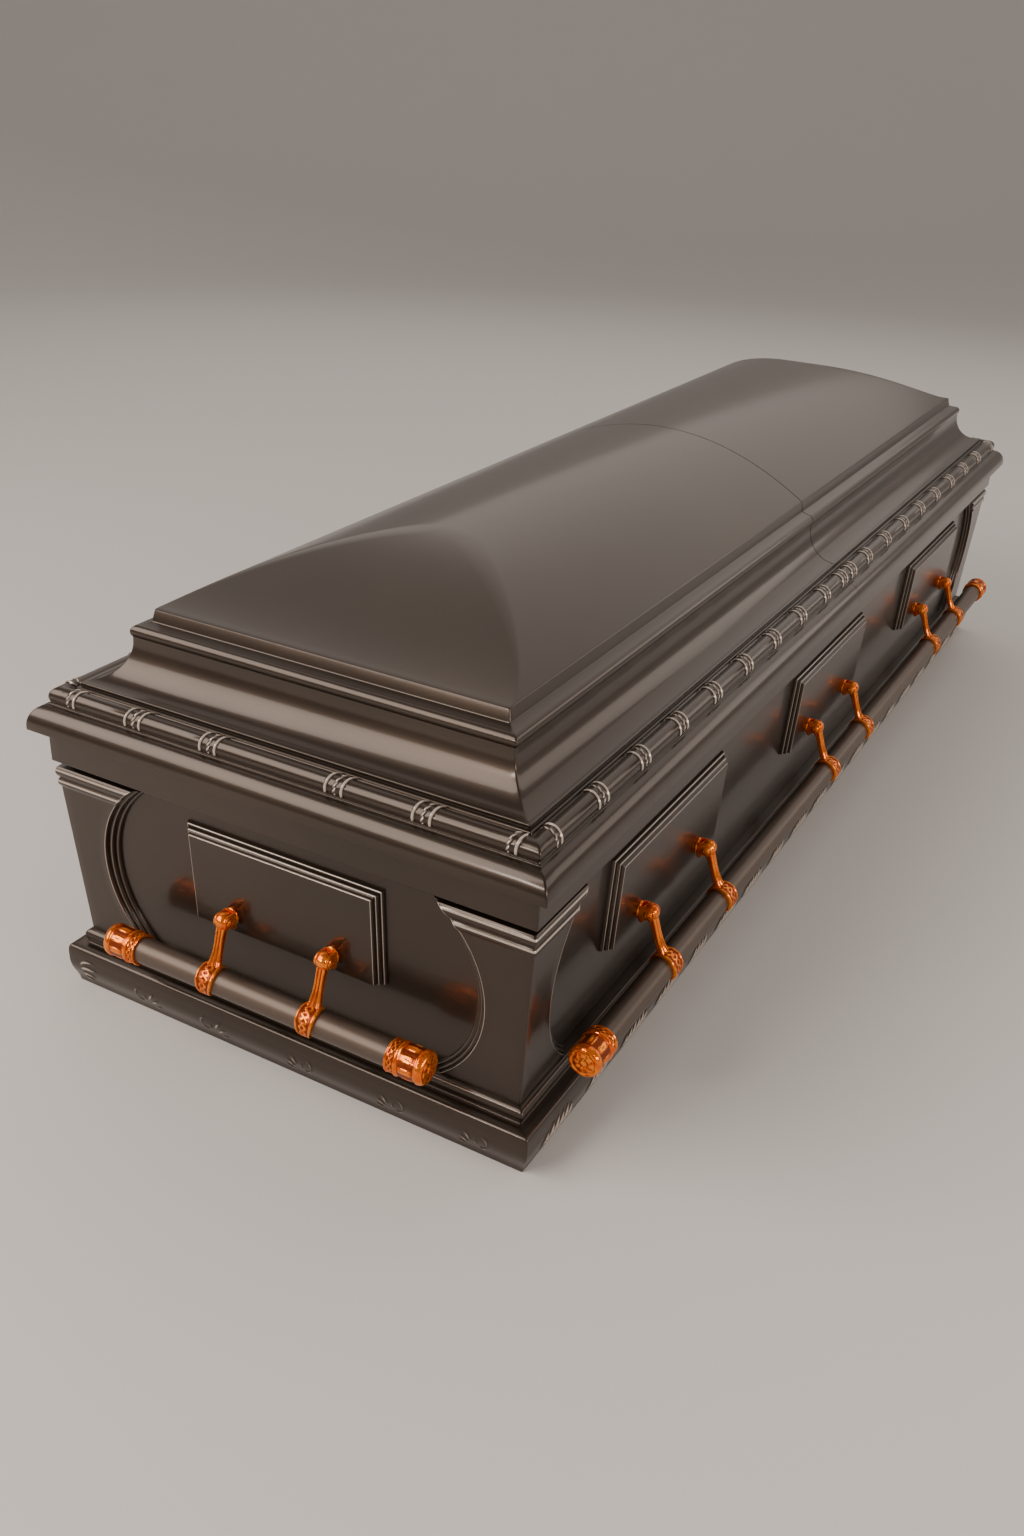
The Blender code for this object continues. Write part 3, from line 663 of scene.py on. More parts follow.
@dataclass(frozen=True)
class BeadRings(Relief):
    """Groups of raised rings round the half-round bead, like the nodes of a cane.

    The angle of each of the bead's rows is in degrees.
    """

    angle: Array
    pitch: float = 111.7 * MM
    count: int = 9
    joint_offset: float = 24.0 * MM
    end_places: tuple[float, ...] = (90.0 * MM, 206.0 * MM, 312.0 * MM)
    reach: float = 17.0 * MM
    rings: tuple[Ring, ...] = (Ring(-11.5 * MM, 3.0 * MM, 2.3 * MM), Ring(0.8 * MM, 3.6 * MM, 2.1 * MM, True),
                               Ring(10.6 * MM, 3.0 * MM, 2.3 * MM))
    column_step: float = 0.95 * MM
    lean: float = 3.0 * MM
    swelling: float = 0.5 * MM
    notches: float = 13.0
    fade_start: float = 1.0
    fade_end: float = 14.0

    def places(self, side: Side) -> Sequence[float]:
        """Centres of the groups, the same to both sides of the middle.

        Args:
            side: the side they are on.

        Returns:
            Places along the side, rising.
        """
        if side.long:
            half = [self.joint_offset] + [k * self.pitch for k in range(1, self.count + 1)]
        else:
            half = list(self.end_places)
        return sorted([-place for place in half] + half)

    def columns(self, side: Side) -> Array:
        """A column about every millimetre across each group."""
        window = np.arange(-self.reach, self.reach + 0.1 * MM, self.column_step)
        return np.concatenate([place + window for place in self.places(side)])

    def lift(self, side: Side, nominal: Array) -> Array:
        """Each ring is a rounded hump over the bead. The middle one is notched like a leaf's edge.

        Args:
            side: the side of the casket.
            nominal: places of the columns along it.

        Returns:
            Heights, rows of the bead by columns.
        """
        angle = np.radians(self.angle)[:, None]
        fade = step_up(self.angle, self.angle[-1] + self.fade_start, self.angle[-1] + self.fade_end)
        fade = fade * step_up(-self.angle, -self.angle[0] + self.fade_start, -self.angle[0] + self.fade_end)
        lift = np.zeros((len(self.angle), len(nominal)))
        places = self.places(side)
        for number, place in enumerate(places):
            near = np.abs(nominal - place) < self.reach
            if not near.any():
                continue
            along = nominal[None, near] - place
            lean = self.lean * np.cos(angle)
            rings = self.rings[1:] if number in (0, len(places) - 1) else self.rings
            group = self.swelling * bump(along, self.reach) * np.ones_like(angle)
            for ring in rings:
                notches = 0.7 + 0.3 * np.cos(self.notches * angle + along / MM) if ring.notched else 1.0
                hump = bump(along - ring.offset - lean, ring.width)
                group = np.maximum(group, ring.height * notches * hump)
            lift[:, near] = np.maximum(lift[:, near], group * fade[:, None])
        return lift


@dataclass(frozen=True)
class RimMoulding:
    """Apron, round-nosed flange, bead and seat: one half of the rim."""

    sizes: RimSizes = RimSizes()

    def flange(self) -> Array:
        """Outside of the profile from the return under the apron to just under the bead's foot.

        Returns:
            Its points: the apron, the round nose and the small step above it.
        """
        s = self.sizes
        under, over = s.nose_under, s.nose_over
        run = s.bead_inset - s.bead_radius + 0.5 * MM
        nose = arc((run, under + 4.0 * MM), (run, over - under - 4.0 * MM), *s.nose_turn, s.nose_steps)
        top = nose[-1, 1]
        return np.vstack([
            softened([(s.return_inset, s.apron_foot, 0.0), (s.apron_inset, s.apron_foot, 1.6 * MM),
                      (s.apron_inset, under + 0.8 * MM, 1.0 * MM), (0.7 * MM, under, 0.5 * MM),
                      (*nose[0], 0.0)])[:-1],
            nose,
            softened([(run - 1.4 * MM, top + 0.2 * MM, 0.0), (run - 1.0 * MM, top + 2.0 * MM, 0.7 * MM),
                      (run + 0.7 * MM, top + 2.1 * MM, 0.4 * MM), (run + 0.9 * MM, top + 3.2 * MM, 0.0)],
                     steps=3),
        ])

    def bead(self) -> tuple[Array, Array]:
        """Outside of the bead.

        Returns:
            Its points, and the angle of each in degrees.
        """
        s = self.sizes
        centre, radii = (s.bead_inset, s.bead_height), (s.bead_radius, s.bead_radius)
        line = arc(centre, radii, s.bead_foot, s.bead_quirk, s.bead_steps)
        return line, np.linspace(s.bead_foot, s.bead_quirk, s.bead_steps + 1)

    def seat(self) -> Array:
        """Outside of the seat.

        Returns:
            Its points, from the quirk behind the bead to the turned-down edge.
        """
        s = self.sizes
        inner = s.seat_inset + s.seat_width
        return softened([(s.quirk_inset, s.quirk_height, 0.0),
                         (s.quirk_inset + 0.8 * MM, s.quirk_height + 0.4 * MM, 0.4 * MM),
                         (s.seat_inset, s.seat_height, 0.8 * MM), (inner, s.seat_height, 1.0 * MM),
                         (inner, s.seat_height - s.turn_down, 0.0)], steps=2)

    def inside(self) -> Array:
        """Inside of the sheet, in fewer steps.

        Returns:
            Its points, from the return up to the turned-down edge.
        """
        s = self.sizes
        nose, inner = s.nose_radius, s.seat_inset + s.seat_width
        centre, radii = (s.bead_inset, s.bead_height), (s.bead_radius, s.bead_radius)
        line = np.vstack([
            [(s.return_inset, s.apron_foot), (s.apron_inset, s.apron_foot)],
            arc((nose, s.nose_height), (nose, nose), 300.0, 90.0, 7),
            s.neck,
            arc(centre, radii, s.bead_foot, s.bead_quirk + 6.0, 7),
            [(s.seat_inset, s.seat_height), (inner, s.seat_height), (inner, s.seat_height - s.turn_down)],
        ])
        return offset_left(line, -s.sheet)

    def build(self, end: End) -> bpy.types.Object:
        """Make half of the rim.

        Args:
            end: the end that it goes round.

        Returns:
            The object.
        """
        s = self.sizes
        bead, angle = self.bead()
        rings = BeadRings(angle)
        columns = Columns(s.corner, s.long_columns, s.short_columns, rings)
        dense, coarse = (half_runs(kind, end, s.joint_gap) for kind in (columns.ornate, columns.plain))
        surface = Surface()
        Sweep(s.margin, s.corner).sheet(surface, [(self.flange(), False), (bead, True), (self.seat(), False)],
                                        self.inside(), dense, coarse, rings, closed=False)
        return surface.build("rim_moulding_" + end.value)


@dataclass(frozen=True)
class BaseSizes:
    """Levels of the base moulding's profile, and the numbers of its rows and columns."""

    wall_inset: float = 49.7 * MM
    foot_inset: float = 20.0 * MM
    nose_inset: float = 11.4 * MM
    belly_height: float = 27.0 * MM
    nose_height: float = 46.0 * MM
    groove_inset: float = 31.0 * MM
    groove_height: float = 62.0 * MM
    ledge_inset: float = 28.5 * MM
    ledge_round: float = 9.0 * MM
    ledge_top: float = 80.7 * MM
    brow_height: float = 59.3 * MM
    shelf_inset: float = 22.0 * MM
    shelf_height: float = 60.5 * MM
    sheet: float = 1.5 * MM
    margin: float = 40.0 * MM
    corner: float = 2.2 * MM
    face_rows: int = 33
    long_columns: int = 25
    short_columns: int = 9
    corner_clear: float = 12.0 * MM


def figure(mirror: float, half: float, *rows: Sequence[float]) -> Motif:
    """A motif from rows of numbers in millimetres.

    Args:
        mirror: 1, or -1 for the motif turned over.
        half: half width of the stretch that it takes.
        rows: for each stroke its start, bend and end (across, up), its width, its height and how
            pointed its ends are.

    Returns:
        The motif.
    """
    strokes = []
    for row in rows:
        start, bend, end = ((mirror * row[k] * MM, row[k + 1] * MM) for k in (0, 2, 4))
        strokes.append(Stroke(start, bend, end, row[6] * MM, row[7] * MM, row[8]))
    return Motif(tuple(strokes), half * MM)


@dataclass(frozen=True)
class LeafStrokes(Relief):
    """Embossed leaves on the base moulding: slanted blades on the long sides, curls on the ends.

    The distance of each of the face's rows up the moulding's face is in up. CURL is a round curl with a
    bud in it and three short leaves beside it, and CORNER_LEAF a fan of leaves that opens away from the
    corner.
    """

    CURL = ((-16, 20, -19, 36, -8, 36, 1.9, 1.5, 0.6), (-16, 22, -12, 12, -3, 17, 1.9, 1.5, 0.6),
            (-3, 17, 3, 24, -4, 28, 1.7, 1.3, 0.6), (6, 22, 10, 30, 15, 36, 2.4, 1.8, 0.7),
            (10, 16, 15, 22, 23, 26, 2.4, 1.7, 0.7), (14, 10, 20, 13, 27, 14, 2.0, 1.4, 0.7))
    CORNER_LEAF = ((22, 30, 8, 46, -14, 42, 3.2, 1.9, 0.7), (22, 26, 6, 34, -20, 30, 3.4, 2.1, 0.7),
                   (20, 20, 6, 22, -12, 18, 3.0, 1.9, 0.7), (16, 14, 6, 10, -6, 9, 2.4, 1.6, 0.7))

    up: Array
    side_pitch: float = 108.0 * MM
    side_count: int = 9
    end_places: tuple[float, ...] = (-323.0 * MM, -223.0 * MM, -110.0 * MM, 34.0 * MM, 171.0 * MM, 289.0 * MM)
    corner_place: float = 300.0 * MM
    column_step: float = 1.55 * MM

    @staticmethod
    def blades(mirror: float, wide: bool) -> Motif:
        """Leaning blades of uneven length, all pointing the same way.

        Args:
            mirror: 1, or -1 where they point to the left.
            wide: True for six blades, False for four.

        Returns:
            The motif.
        """
        rows = ((-30.0, 9.0, 34.0, 3.0), (-18.5, 5.0, 41.0, 3.4), (-6.5, 7.0, 45.0, 3.6),
                (5.5, 4.0, 43.0, 3.4), (17.0, 8.0, 45.0, 3.6), (28.0, 12.0, 38.0, 2.8))
        strokes = []
        for across, low, high, width in rows if wide else rows[1:5]:
            lean = 6.0 * (high - low) / 40.0
            strokes.append((across - lean, low, across - 3.0, 24.0, across + lean, high, width, 3.0, 0.7))
        return figure(mirror, 40.0, *strokes)

    def motif(self, side: Side, place: float) -> Motif:
        """The motif that stands at one place.

        Args:
            side: the side of the casket.
            place: centre of the motif along it.

        Returns:
            The motif, pointing the way that suits the place.
        """
        if side.long:
            number = round(place / self.side_pitch)
            return self.blades(1.0 if side is Side.FRONT else -1.0, number % 3 != 1)
        mirror = -1.0 if place > 0 else 1.0
        if abs(place) > self.corner_place:
            return figure(-mirror, 27.0, *self.CORNER_LEAF)
        return figure(mirror, 30.0, *self.CURL)

    def places(self, side: Side) -> Sequence[float]:
        """Centres of the motifs along one side.

        Args:
            side: the side of the casket.

        Returns:
            Places along the side, rising.
        """
        if side.long:
            return [k * self.side_pitch for k in range(-self.side_count, self.side_count + 1)]
        return list(self.end_places)

    def columns(self, side: Side) -> Array:
        """Even columns across each motif."""
        spans = [(place, self.motif(side, place).half) for place in self.places(side)]
        return np.concatenate([np.arange(mid - half, mid + half, self.column_step) for mid, half in spans])

    def lift(self, side: Side, nominal: Array) -> Array:
        """The highest stroke at each place of the face.

        Args:
            side: the side of the casket.
            nominal: places of the columns along it.

        Returns:
            Heights, rows of the face by columns.
        """
        lift = np.zeros((len(self.up), len(nominal)))
        for place in self.places(side):
            motif = self.motif(side, place)
            near = np.abs(nominal - place) < motif.half
            if not near.any():
                continue
            along, up = np.meshgrid(nominal[near] - place, self.up)
            highest = np.zeros_like(along)
            for stroke in motif.strokes:
                highest = np.maximum(highest, stroke.lift(along, up))
            lift[:, near] = np.maximum(lift[:, near], highest)
        return lift


@dataclass(frozen=True)
class BaseMoulding:
    """Formed moulding round the foot of the body."""

    sizes: BaseSizes = BaseSizes()

    def foot(self) -> Array:
        """Outside of the flat foot.

        Returns:
            Its points, from the wall outwards.
        """
        s = self.sizes
        return np.array([(s.wall_inset, 0.0), (s.foot_inset + 1.5 * MM, 0.0),
                         (s.foot_inset + 0.3 * MM, 0.4 * MM)])

    def face(self) -> tuple[Array, Array]:
        """Outside of the face.

        Returns:
            Its points, and how far up the face each is.
        """
        s = self.sizes
        line = softened([(s.foot_inset, 1.0 * MM, 0.0), (s.foot_inset - 1.4 * MM, 9.0 * MM, 5.0 * MM),
                         (s.nose_inset + 0.3 * MM, s.belly_height, 9.0 * MM),
                         (s.nose_inset, s.nose_height, 0.0)], steps=6)
        length = np.concatenate([[0.0], np.cumsum(np.linalg.norm(np.diff(line, axis=0), axis=1))])
        up = np.linspace(0.0, length[-1], s.face_rows)
        return np.stack([np.interp(up, length, line[:, 0]), np.interp(up, length, line[:, 1])], axis=1), up

    def ledge(self, start: float, end: float, steps: int) -> Array:
        """Rounded edge of the ledge between two angles in degrees."""
        s, radius = self.sizes, self.sizes.ledge_round
        return arc((s.ledge_inset + radius, s.ledge_top - radius), (radius, radius), start, end, steps)

    def head(self) -> Array:
        """Outside of the nose, the groove and the ledge.

        Returns:
            Its points, from the face up to the wall.
        """
        s = self.sizes
        nose = softened([(s.nose_inset, s.nose_height + 1.0 * MM, 0.0),
                         (s.nose_inset + 0.8 * MM, s.brow_height, 8.0 * MM),
                         (s.shelf_inset, s.shelf_height, 2.0 * MM),
                         (s.groove_inset, s.shelf_height - 0.1 * MM, 2.0 * MM),
                         (s.groove_inset, s.groove_height + 1.0 * MM, 0.0)], steps=4)
        return np.vstack([nose, self.ledge(212.0, 92.0, 12), [(s.wall_inset, s.ledge_top)]])

    def inside(self) -> Array:
        """Inside of the sheet, in fewer steps.

        Returns:
            Its points, from the foot up to the wall.
        """
        s = self.sizes
        line = np.vstack([
            [(s.wall_inset, 0.0), (s.foot_inset, 0.0), (s.foot_inset, 9.0 * MM),
             (s.nose_inset + 0.5 * MM, s.belly_height), (s.nose_inset, s.nose_height),
             (s.nose_inset + 2.0 * MM, s.brow_height - 0.3 * MM), (s.shelf_inset - 1.0 * MM, s.shelf_height),
             (s.groove_inset, s.shelf_height), (s.groove_inset, s.groove_height)],
            self.ledge(200.0, 90.0, 4),
            [(s.wall_inset, s.ledge_top)],
        ])
        return offset_left(line, -s.sheet)

    def build(self) -> bpy.types.Object:
        """Make the whole moulding.

        Returns:
            The object.
        """
        s = self.sizes
        face, up = self.face()
        leaves = LeafStrokes(up)
        columns = Columns(s.corner, s.long_columns, s.short_columns, leaves, s.corner_clear)
        surface = Surface()
        Sweep(s.margin, s.corner).sheet(
            surface, [(self.foot(), False), (face, True), (self.head(), False)], self.inside(),
            full_runs(columns.ornate), full_runs(columns.plain), leaves, closed=True)
        return surface.build("base_moulding_dressed")


@dataclass(frozen=True)
class LidSizes:
    """Levels of the lid's profile and the form of its crown."""

    foot: float = 439.0 * MM
    lip_inset: float = 50.0 * MM
    lip_height: float = 6.0 * MM
    lip_return: float = 16.0 * MM
    cove_width: float = 46.0 * MM
    cove_height: float = 52.0 * MM
    ledge_round: float = 9.0 * MM
    corner: float = 1.8 * MM
    ridge_softness: float = 14.0
    band_foot: Point = (115.0 * MM, 519.6 * MM)
    crown_edge: Point = (118.0 * MM, 535.5 * MM)
    crown_rise: float = 81.0 * MM
    hip_length: float = 283.0 * MM
    hip_power: float = 1.5
    sheet: float = 1.2 * MM
    seam_gap: float = 2.0 * MM
    even_half: float = 600.0 * MM
    column_margin: float = 10.0 * MM
    long_columns: int = 34
    short_columns: int = 33
    crown_rows: int = 44


@dataclass(frozen=True)
class Lid:
    """One half of the lid: lip, cove, ledge, band and the vaulted crown with its hip."""

    sizes: LidSizes = LidSizes()

    def lower(self) -> Array:
        """Outside of the profile from the inner return to just under the crown's edge.

        Returns:
            Its points: the lip, the cove, the rolled ledge and the band.
        """
        s = self.sizes
        cove_foot = s.foot + s.lip_height
        cove_top = cove_foot + s.cove_height
        ledge = s.lip_inset + s.cove_width + 8.4 * MM
        roll = arc((ledge, cove_top + 10.4 * MM), (s.ledge_round, s.ledge_round), 222.0, 98.0, 16)
        return np.vstack([
            softened([(s.lip_inset + s.lip_return, s.foot, 0.0), (s.lip_inset, s.foot, 1.0 * MM),
                      (s.lip_inset, cove_foot, 1.6 * MM),
                      (s.lip_inset + 3.5 * MM, cove_foot + 0.2 * MM, 0.0)]),
            arc((s.lip_inset, cove_top), (s.cove_width + 1.6 * MM, -s.cove_height), 85.0, 0.0, 22),
            roll,
            softened([(roll[-1, 0] + 1.0 * MM, roll[-1, 1] + 0.1 * MM, 0.0), (*s.band_foot, 1.4 * MM),
                      (s.crown_edge[0], s.crown_edge[1] - 1.6 * MM, 0.0)], steps=4),
        ])

    def crown(self, shares: Array, thickness: float) -> Array:
        """Contours of the crown.

        Across, the vault is a parabola. Along, the distance from the end grows as the share to the power
        of one over hip_power, which bends the hip's edge.

        Args:
            shares: shares of the way from the crown's edge to the ridge.
            thickness: how far inside the outside they are.

        Returns:
            Half length, half width and height of each contour.
        """
        s = self.sizes
        inset, height = s.crown_edge
        half_y = (WIDTH / 2 - inset - thickness) * (1.0 - shares)
        half_x = LENGTH / 2 - inset - thickness - s.hip_length * shares ** (1.0 / s.hip_power)
        rise = s.crown_rise * (1.0 - (1.0 - shares) ** 2)
        return np.stack([half_x, half_y, height + rise - thickness], axis=1)

    def levels(self, outline: Array, shares: Array, thickness: float) -> Array:
        """Every row of the lid, with the crown's edge rounded by a quadratic curve.

        Args:
            outline: (inset, height) of the rows below the crown.
            shares: shares of the way up the crown for those above.
            thickness: how far inside the outside they are.

        Returns:
            Half length, half width and height of each row, from the lip's return up to the ridge.
        """
        lower = np.stack([LENGTH / 2 - outline[:, 0], WIDTH / 2 - outline[:, 0], outline[:, 1]], axis=1)
        crown = self.crown(shares, thickness)
        edge = self.crown(np.zeros(1), thickness)[0]
        share = np.linspace(0.0, 1.0, 6)[1:-1, None]
        rounding = (1 - share) ** 2 * lower[-1] + 2 * share * (1 - share) * edge + share ** 2 * crown[0]
        return np.vstack([lower, rounding, crown])

    def _rows(self, levels: Array, end: End) -> Array:
        """Points of every row. Its corner is rounded more and more up the crown, so that the hip fades out.

        Args:
            levels: half length, half width and height of each row.
            end: the end that they go round.

        Returns:
            Rows by columns by 3, from the seam round the end and back to the seam.
        """
        s = self.sizes
        sign = 1.0 if end is End.FOOT else -1.0
        corners = corner_columns(1.0, s.corner)
        along = np.concatenate([[s.seam_gap / 2, s.seam_gap / 2 + 1.2 * MM],
                                np.linspace(COLUMN_MARGIN, LENGTH / 2 - s.column_margin, s.long_columns),
                                np.sort(corners[corners > 0]) - 1.0 + LENGTH / 2])
        inner = np.linspace(s.column_margin - WIDTH / 2, WIDTH / 2 - s.column_margin, s.short_columns)
        across = merged(inner, corner_columns(WIDTH / 2, s.corner))
        half_x, half_y, height = (levels[:, k:k + 1] for k in range(3))
        up_crown = np.clip((height - s.crown_edge[1]) / s.crown_rise, 0.0, 1.0)
        row_corner = np.minimum(s.corner * (1.0 + s.ridge_softness * up_crown ** 1.5), half_y * 0.6)
        run = squeezed(along[None, :], s.even_half, LENGTH / 2, half_x, s.corner, row_corner)
        side_out = half_y - corner_rounding(half_x - run, row_corner)
        spread = squeezed(across[None, :], 0.0, WIDTH / 2, half_y, s.corner, row_corner)
        end_out = half_x - corner_rounding(half_y - np.abs(spread), row_corner)
        first = np.stack(np.broadcast_arrays(sign * run, -sign * side_out, height), axis=-1)
        end_face = np.stack(np.broadcast_arrays(sign * end_out, sign * spread, height), axis=-1)
        last = np.stack(np.broadcast_arrays(sign * run, sign * side_out, height), axis=-1)[:, ::-1]
        return np.concatenate([first, end_face, last], axis=1)

    def build(self, end: End) -> bpy.types.Object:
        """Make half of the lid.

        Args:
            end: the end that it covers.

        Returns:
            The object.
        """
        s = self.sizes
        outline = self.lower()
        shares = np.concatenate([[0.007, 0.014], np.linspace(0.03, 1.0, s.crown_rows)])
        outer = self._rows(self.levels(outline, shares, 0.0), end)
        coarse = offset_left(outline[::3], -s.sheet)
        inner = self._rows(self.levels(coarse, np.linspace(0.02, 1.0, s.crown_rows // 2 - 1), s.sheet), end)
        surface = Surface()
        outside = surface.grid(outer)
        inside = surface.grid(inner)
        surface.strip(outside[0], inside[0])
        for column in (0, -1):
            surface.cap(list(outside[:, column]) + list(inside[::-1, column]))
        return surface.build("lid_dressed_" + end.value, sharp_degrees=30.0)


@dataclass(frozen=True)
class BodySizes:
    """Levels and widths of the body's walls, posts and panels."""

    pan_height: float = 10.0 * MM
    skirt_inset: float = 50.0 * MM
    field_foot: Point = (49.0 * MM, 81.0 * MM)
    field_head: Point = (36.0 * MM, 331.0 * MM)
    collar_top: float = 430.0 * MM
    post_foot_inset: float = 36.7 * MM
    post_head_inset: float = 23.5 * MM
    necking_height: float = 303.0 * MM
    edge_width: float = 125.0 * MM
    waist_width: float = 64.0 * MM
    arris: float = 2.6 * MM
    panel_foot: float = 175.0 * MM
    panel_top: float = 310.0 * MM
    side_panel: float = 350.0 * MM
    end_panel: float = 290.0 * MM
    pitch: float = 650.0 * MM
    panel_out: float = 15.0 * MM
    sheet: float = 1.2 * MM


@dataclass(frozen=True)
class Body:
    """Pressed body: pan, skirt, sloping fields, raised panels and corner posts.

    EDGE and BAND are the places of the columns across a panel's edge and a post's curved edge, and the
    crests are where the reeds there get a painted highlight. HEAD_REEDS gives the height above the floor of
    each reed at the post's head, its half width and how far it stands out. HEAD_STEP gives the two heights
    between which the rest of the head steps out, and how far. HEAD_CLEAR is where, in from the curved edge,
    the head begins and where it is full.
    """

    EDGE = np.array([0.0, 0.15, 0.5, 1.1, 2.0, 3.2, 4.4, 4.7, 5.1, 5.7, 6.6, 7.8, 8.9, 9.2, 9.6, 10.2, 11.1,
                     12.3, 13.5, 14.4]) * MM
    BAND = np.array([0.0, 0.25, 0.7, 1.5, 2.6, 4.0, 5.6, 6.6, 7.0, 7.4, 8.2, 9.4, 10.8, 12.4, 13.4, 13.8,
                     14.2, 15.0, 16.2, 17.6, 18.6]) * MM
    BAND_CRESTS = (3.2 * MM, 9.9 * MM, 16.2 * MM)
    HEAD_CRESTS = (311.0 * MM, 326.6 * MM)
    PANEL_CRESTS = (2.0 * MM, 6.6 * MM, 11.1 * MM)
    HEAD_REEDS = ((309.0 * MM, 6.2 * MM, 3.0 * MM), (323.6 * MM, 8.2 * MM, 4.2 * MM))
    HEAD_STEP = (303.0 * MM, 306.0 * MM, 0.8 * MM)
    HEAD_CLEAR = (12.0 * MM, 15.0 * MM)

    sizes: BodySizes = BodySizes()

    def field(self, height: Array) -> Array:
        """Inset of the sloping field."""
        (foot, low), (head, high) = self.sizes.field_foot, self.sizes.field_head
        return foot + (head - foot) * (height - low) / (high - low)

    def post(self, height: Array) -> Array:
        """Inset of the post's plain face.

        Args:
            height: heights above the floor.

        Returns:
            The inset at each height.
        """
        s = self.sizes
        slope = (s.post_head_inset - s.post_foot_inset) / (s.necking_height - s.field_foot[1])
        return s.post_foot_inset + slope * (np.minimum(height, s.necking_height) - s.field_foot[1])

    def post_head(self, height: Array) -> Array:
        """How far the two reeds at the post's head stand out.

        Args:
            height: heights above the floor.

        Returns:
            The distance at each height.
        """
        start, full, out = self.HEAD_STEP
        rise = out * step_up(height, start, full)
        for place, width, reach in self.HEAD_REEDS:
            rise = np.maximum(rise, reach * bump(height - place, width) ** 0.6)
        return rise

    def post_edge(self, height: Array) -> Array:
        """Width of the post, whose inner edge is a circular arc.

        Args:
            height: heights above the floor.

        Returns:
            The width at each height.
        """
        s = self.sizes
        low, high = s.field_foot[1], s.field_head[1]
        chord, sagitta = (high - low) / 2, s.edge_width - s.waist_width
        radius = (chord ** 2 + sagitta ** 2) / (2 * sagitta)
        rise = np.minimum(np.abs(height - (low + high) / 2), chord)
        return s.waist_width + radius - np.sqrt(radius ** 2 - rise ** 2)

    @staticmethod
    def band_rise(distance: Array) -> Array:
        """Share of the post's depth that its three reeds reach, each higher than the last.

        Args:
            distance: distances in from the curved edge.

        Returns:
            The share at each distance.
        """
        place = distance / MM
        first = 0.36 * quarter(place, 0.0, 3.2) - 0.05 * step_up(place, 4.6, 7.0)
        second = 0.38 * quarter(place, 7.0, 10.4) - 0.05 * step_up(place, 11.6, 13.9)
        third = 0.40 * quarter(place, 13.9, 16.6) - 0.04 * step_up(place, 16.4, 18.4)
        return first + second + third

    def panel_rise(self, distance: Array) -> Array:
        """How far a panel stands out: three rounded steps.

        Args:
            distance: distances in from its edge.

        Returns:
            The rise at each distance.
        """
        step = self.sizes.panel_out / 3
        rise = np.zeros_like(distance)
        for start in (0.0, 4.5 * MM, 9.0 * MM):
            rise = rise + step * (1.06 * quarter(distance, start, start + 2.7 * MM)
                                  - 0.06 * step_up(distance, start + 2.9 * MM, start + 4.4 * MM))
        return rise

    def panels(self, side: Side) -> tuple[list[float], float]:
        """Panels of one side.

        Args:
            side: the side of the casket.

        Returns:
            Their centres, and half of a panel's width.
        """
        s = self.sizes
        if side.long:
            return [-s.pitch, 0.0, s.pitch], s.side_panel / 2
        return [0.0], s.end_panel / 2

    def _columns(self, side: Side, height: Array) -> Array:
        """Columns that follow the post's curved edge and the panels' upright edges, so that both stay crisp.

        Args:
            side: the side of the casket.
            height: heights of the rows, one column wide.

        Returns:
            Places along the side, rows by columns.
        """
        s = self.sizes
        corner = side.half - self.post(height) + self.post_head(height)
        edge = side.half - s.post_foot_inset - self.post_edge(height)
        centres, half = self.panels(side)
        ones = np.ones_like(height)
        shares = np.linspace(0.0, 1.0, 6)[1:-1]
        turn = s.arris * (1.0 - np.sin(np.radians([45.0, 22.5])))
        left = [-corner + cut for cut in turn] + [-corner + s.arris]
        left += [-(corner - s.arris) + (corner - s.arris - edge - self.BAND[-1]) * share for share in shares]
        left += [-edge - distance for distance in self.BAND[::-1]]
        parts = list(left)
        start = -edge
        for centre in centres:
            inside = np.linspace(-half + self.EDGE[-1], half - self.EDGE[-1], 8)[1:-1]
            group = np.concatenate([centre - half + self.EDGE, centre + inside,
                                    centre + half - self.EDGE[::-1]])
            first = group[0] * ones
            parts += [start + (first - start) * share for share in shares]
            parts += [place * ones for place in group]
            start = group[-1] * ones
        parts += [start + (edge - start) * share for share in shares]
        parts += [-column for column in left[::-1]]
        return np.concatenate(parts, axis=1)

    def _inset(self, side: Side, along: Array, height: Array) -> Array:
        """Inset of the outside at each place of the wall.

        Args:
            side: the side of the casket.
            along: places along it, rows by columns.
            height: heights of the rows, one column wide.

        Returns:
            The insets, rows by columns.
        """
        s = self.sizes
        corner = side.half - self.post(height) + self.post_head(height)
        edge = side.half - s.post_foot_inset - self.post_edge(height)
        field_inset = self.field(height)
        distance = np.abs(along) - edge
        depth = field_inset - self.post(height)
        inset = field_inset - depth * self.band_rise(np.maximum(distance, 0.0))
        inset = inset - self.post_head(height) * step_up(distance, *self.HEAD_CLEAR)
        centres, half = self.panels(side)
        rise = np.zeros_like(along)
        for centre in centres:
            inwards = np.minimum(half - np.abs(along - centre), s.panel_top - height)
            foot = s.panel_out * np.clip((height - s.panel_foot) / (2.4 * MM), 0.0, 1.0)
            rise = np.maximum(rise, np.minimum(self.panel_rise(np.maximum(inwards, 0.0)), foot))
        return inset - rise + corner_rounding(corner - np.abs(along), s.arris)

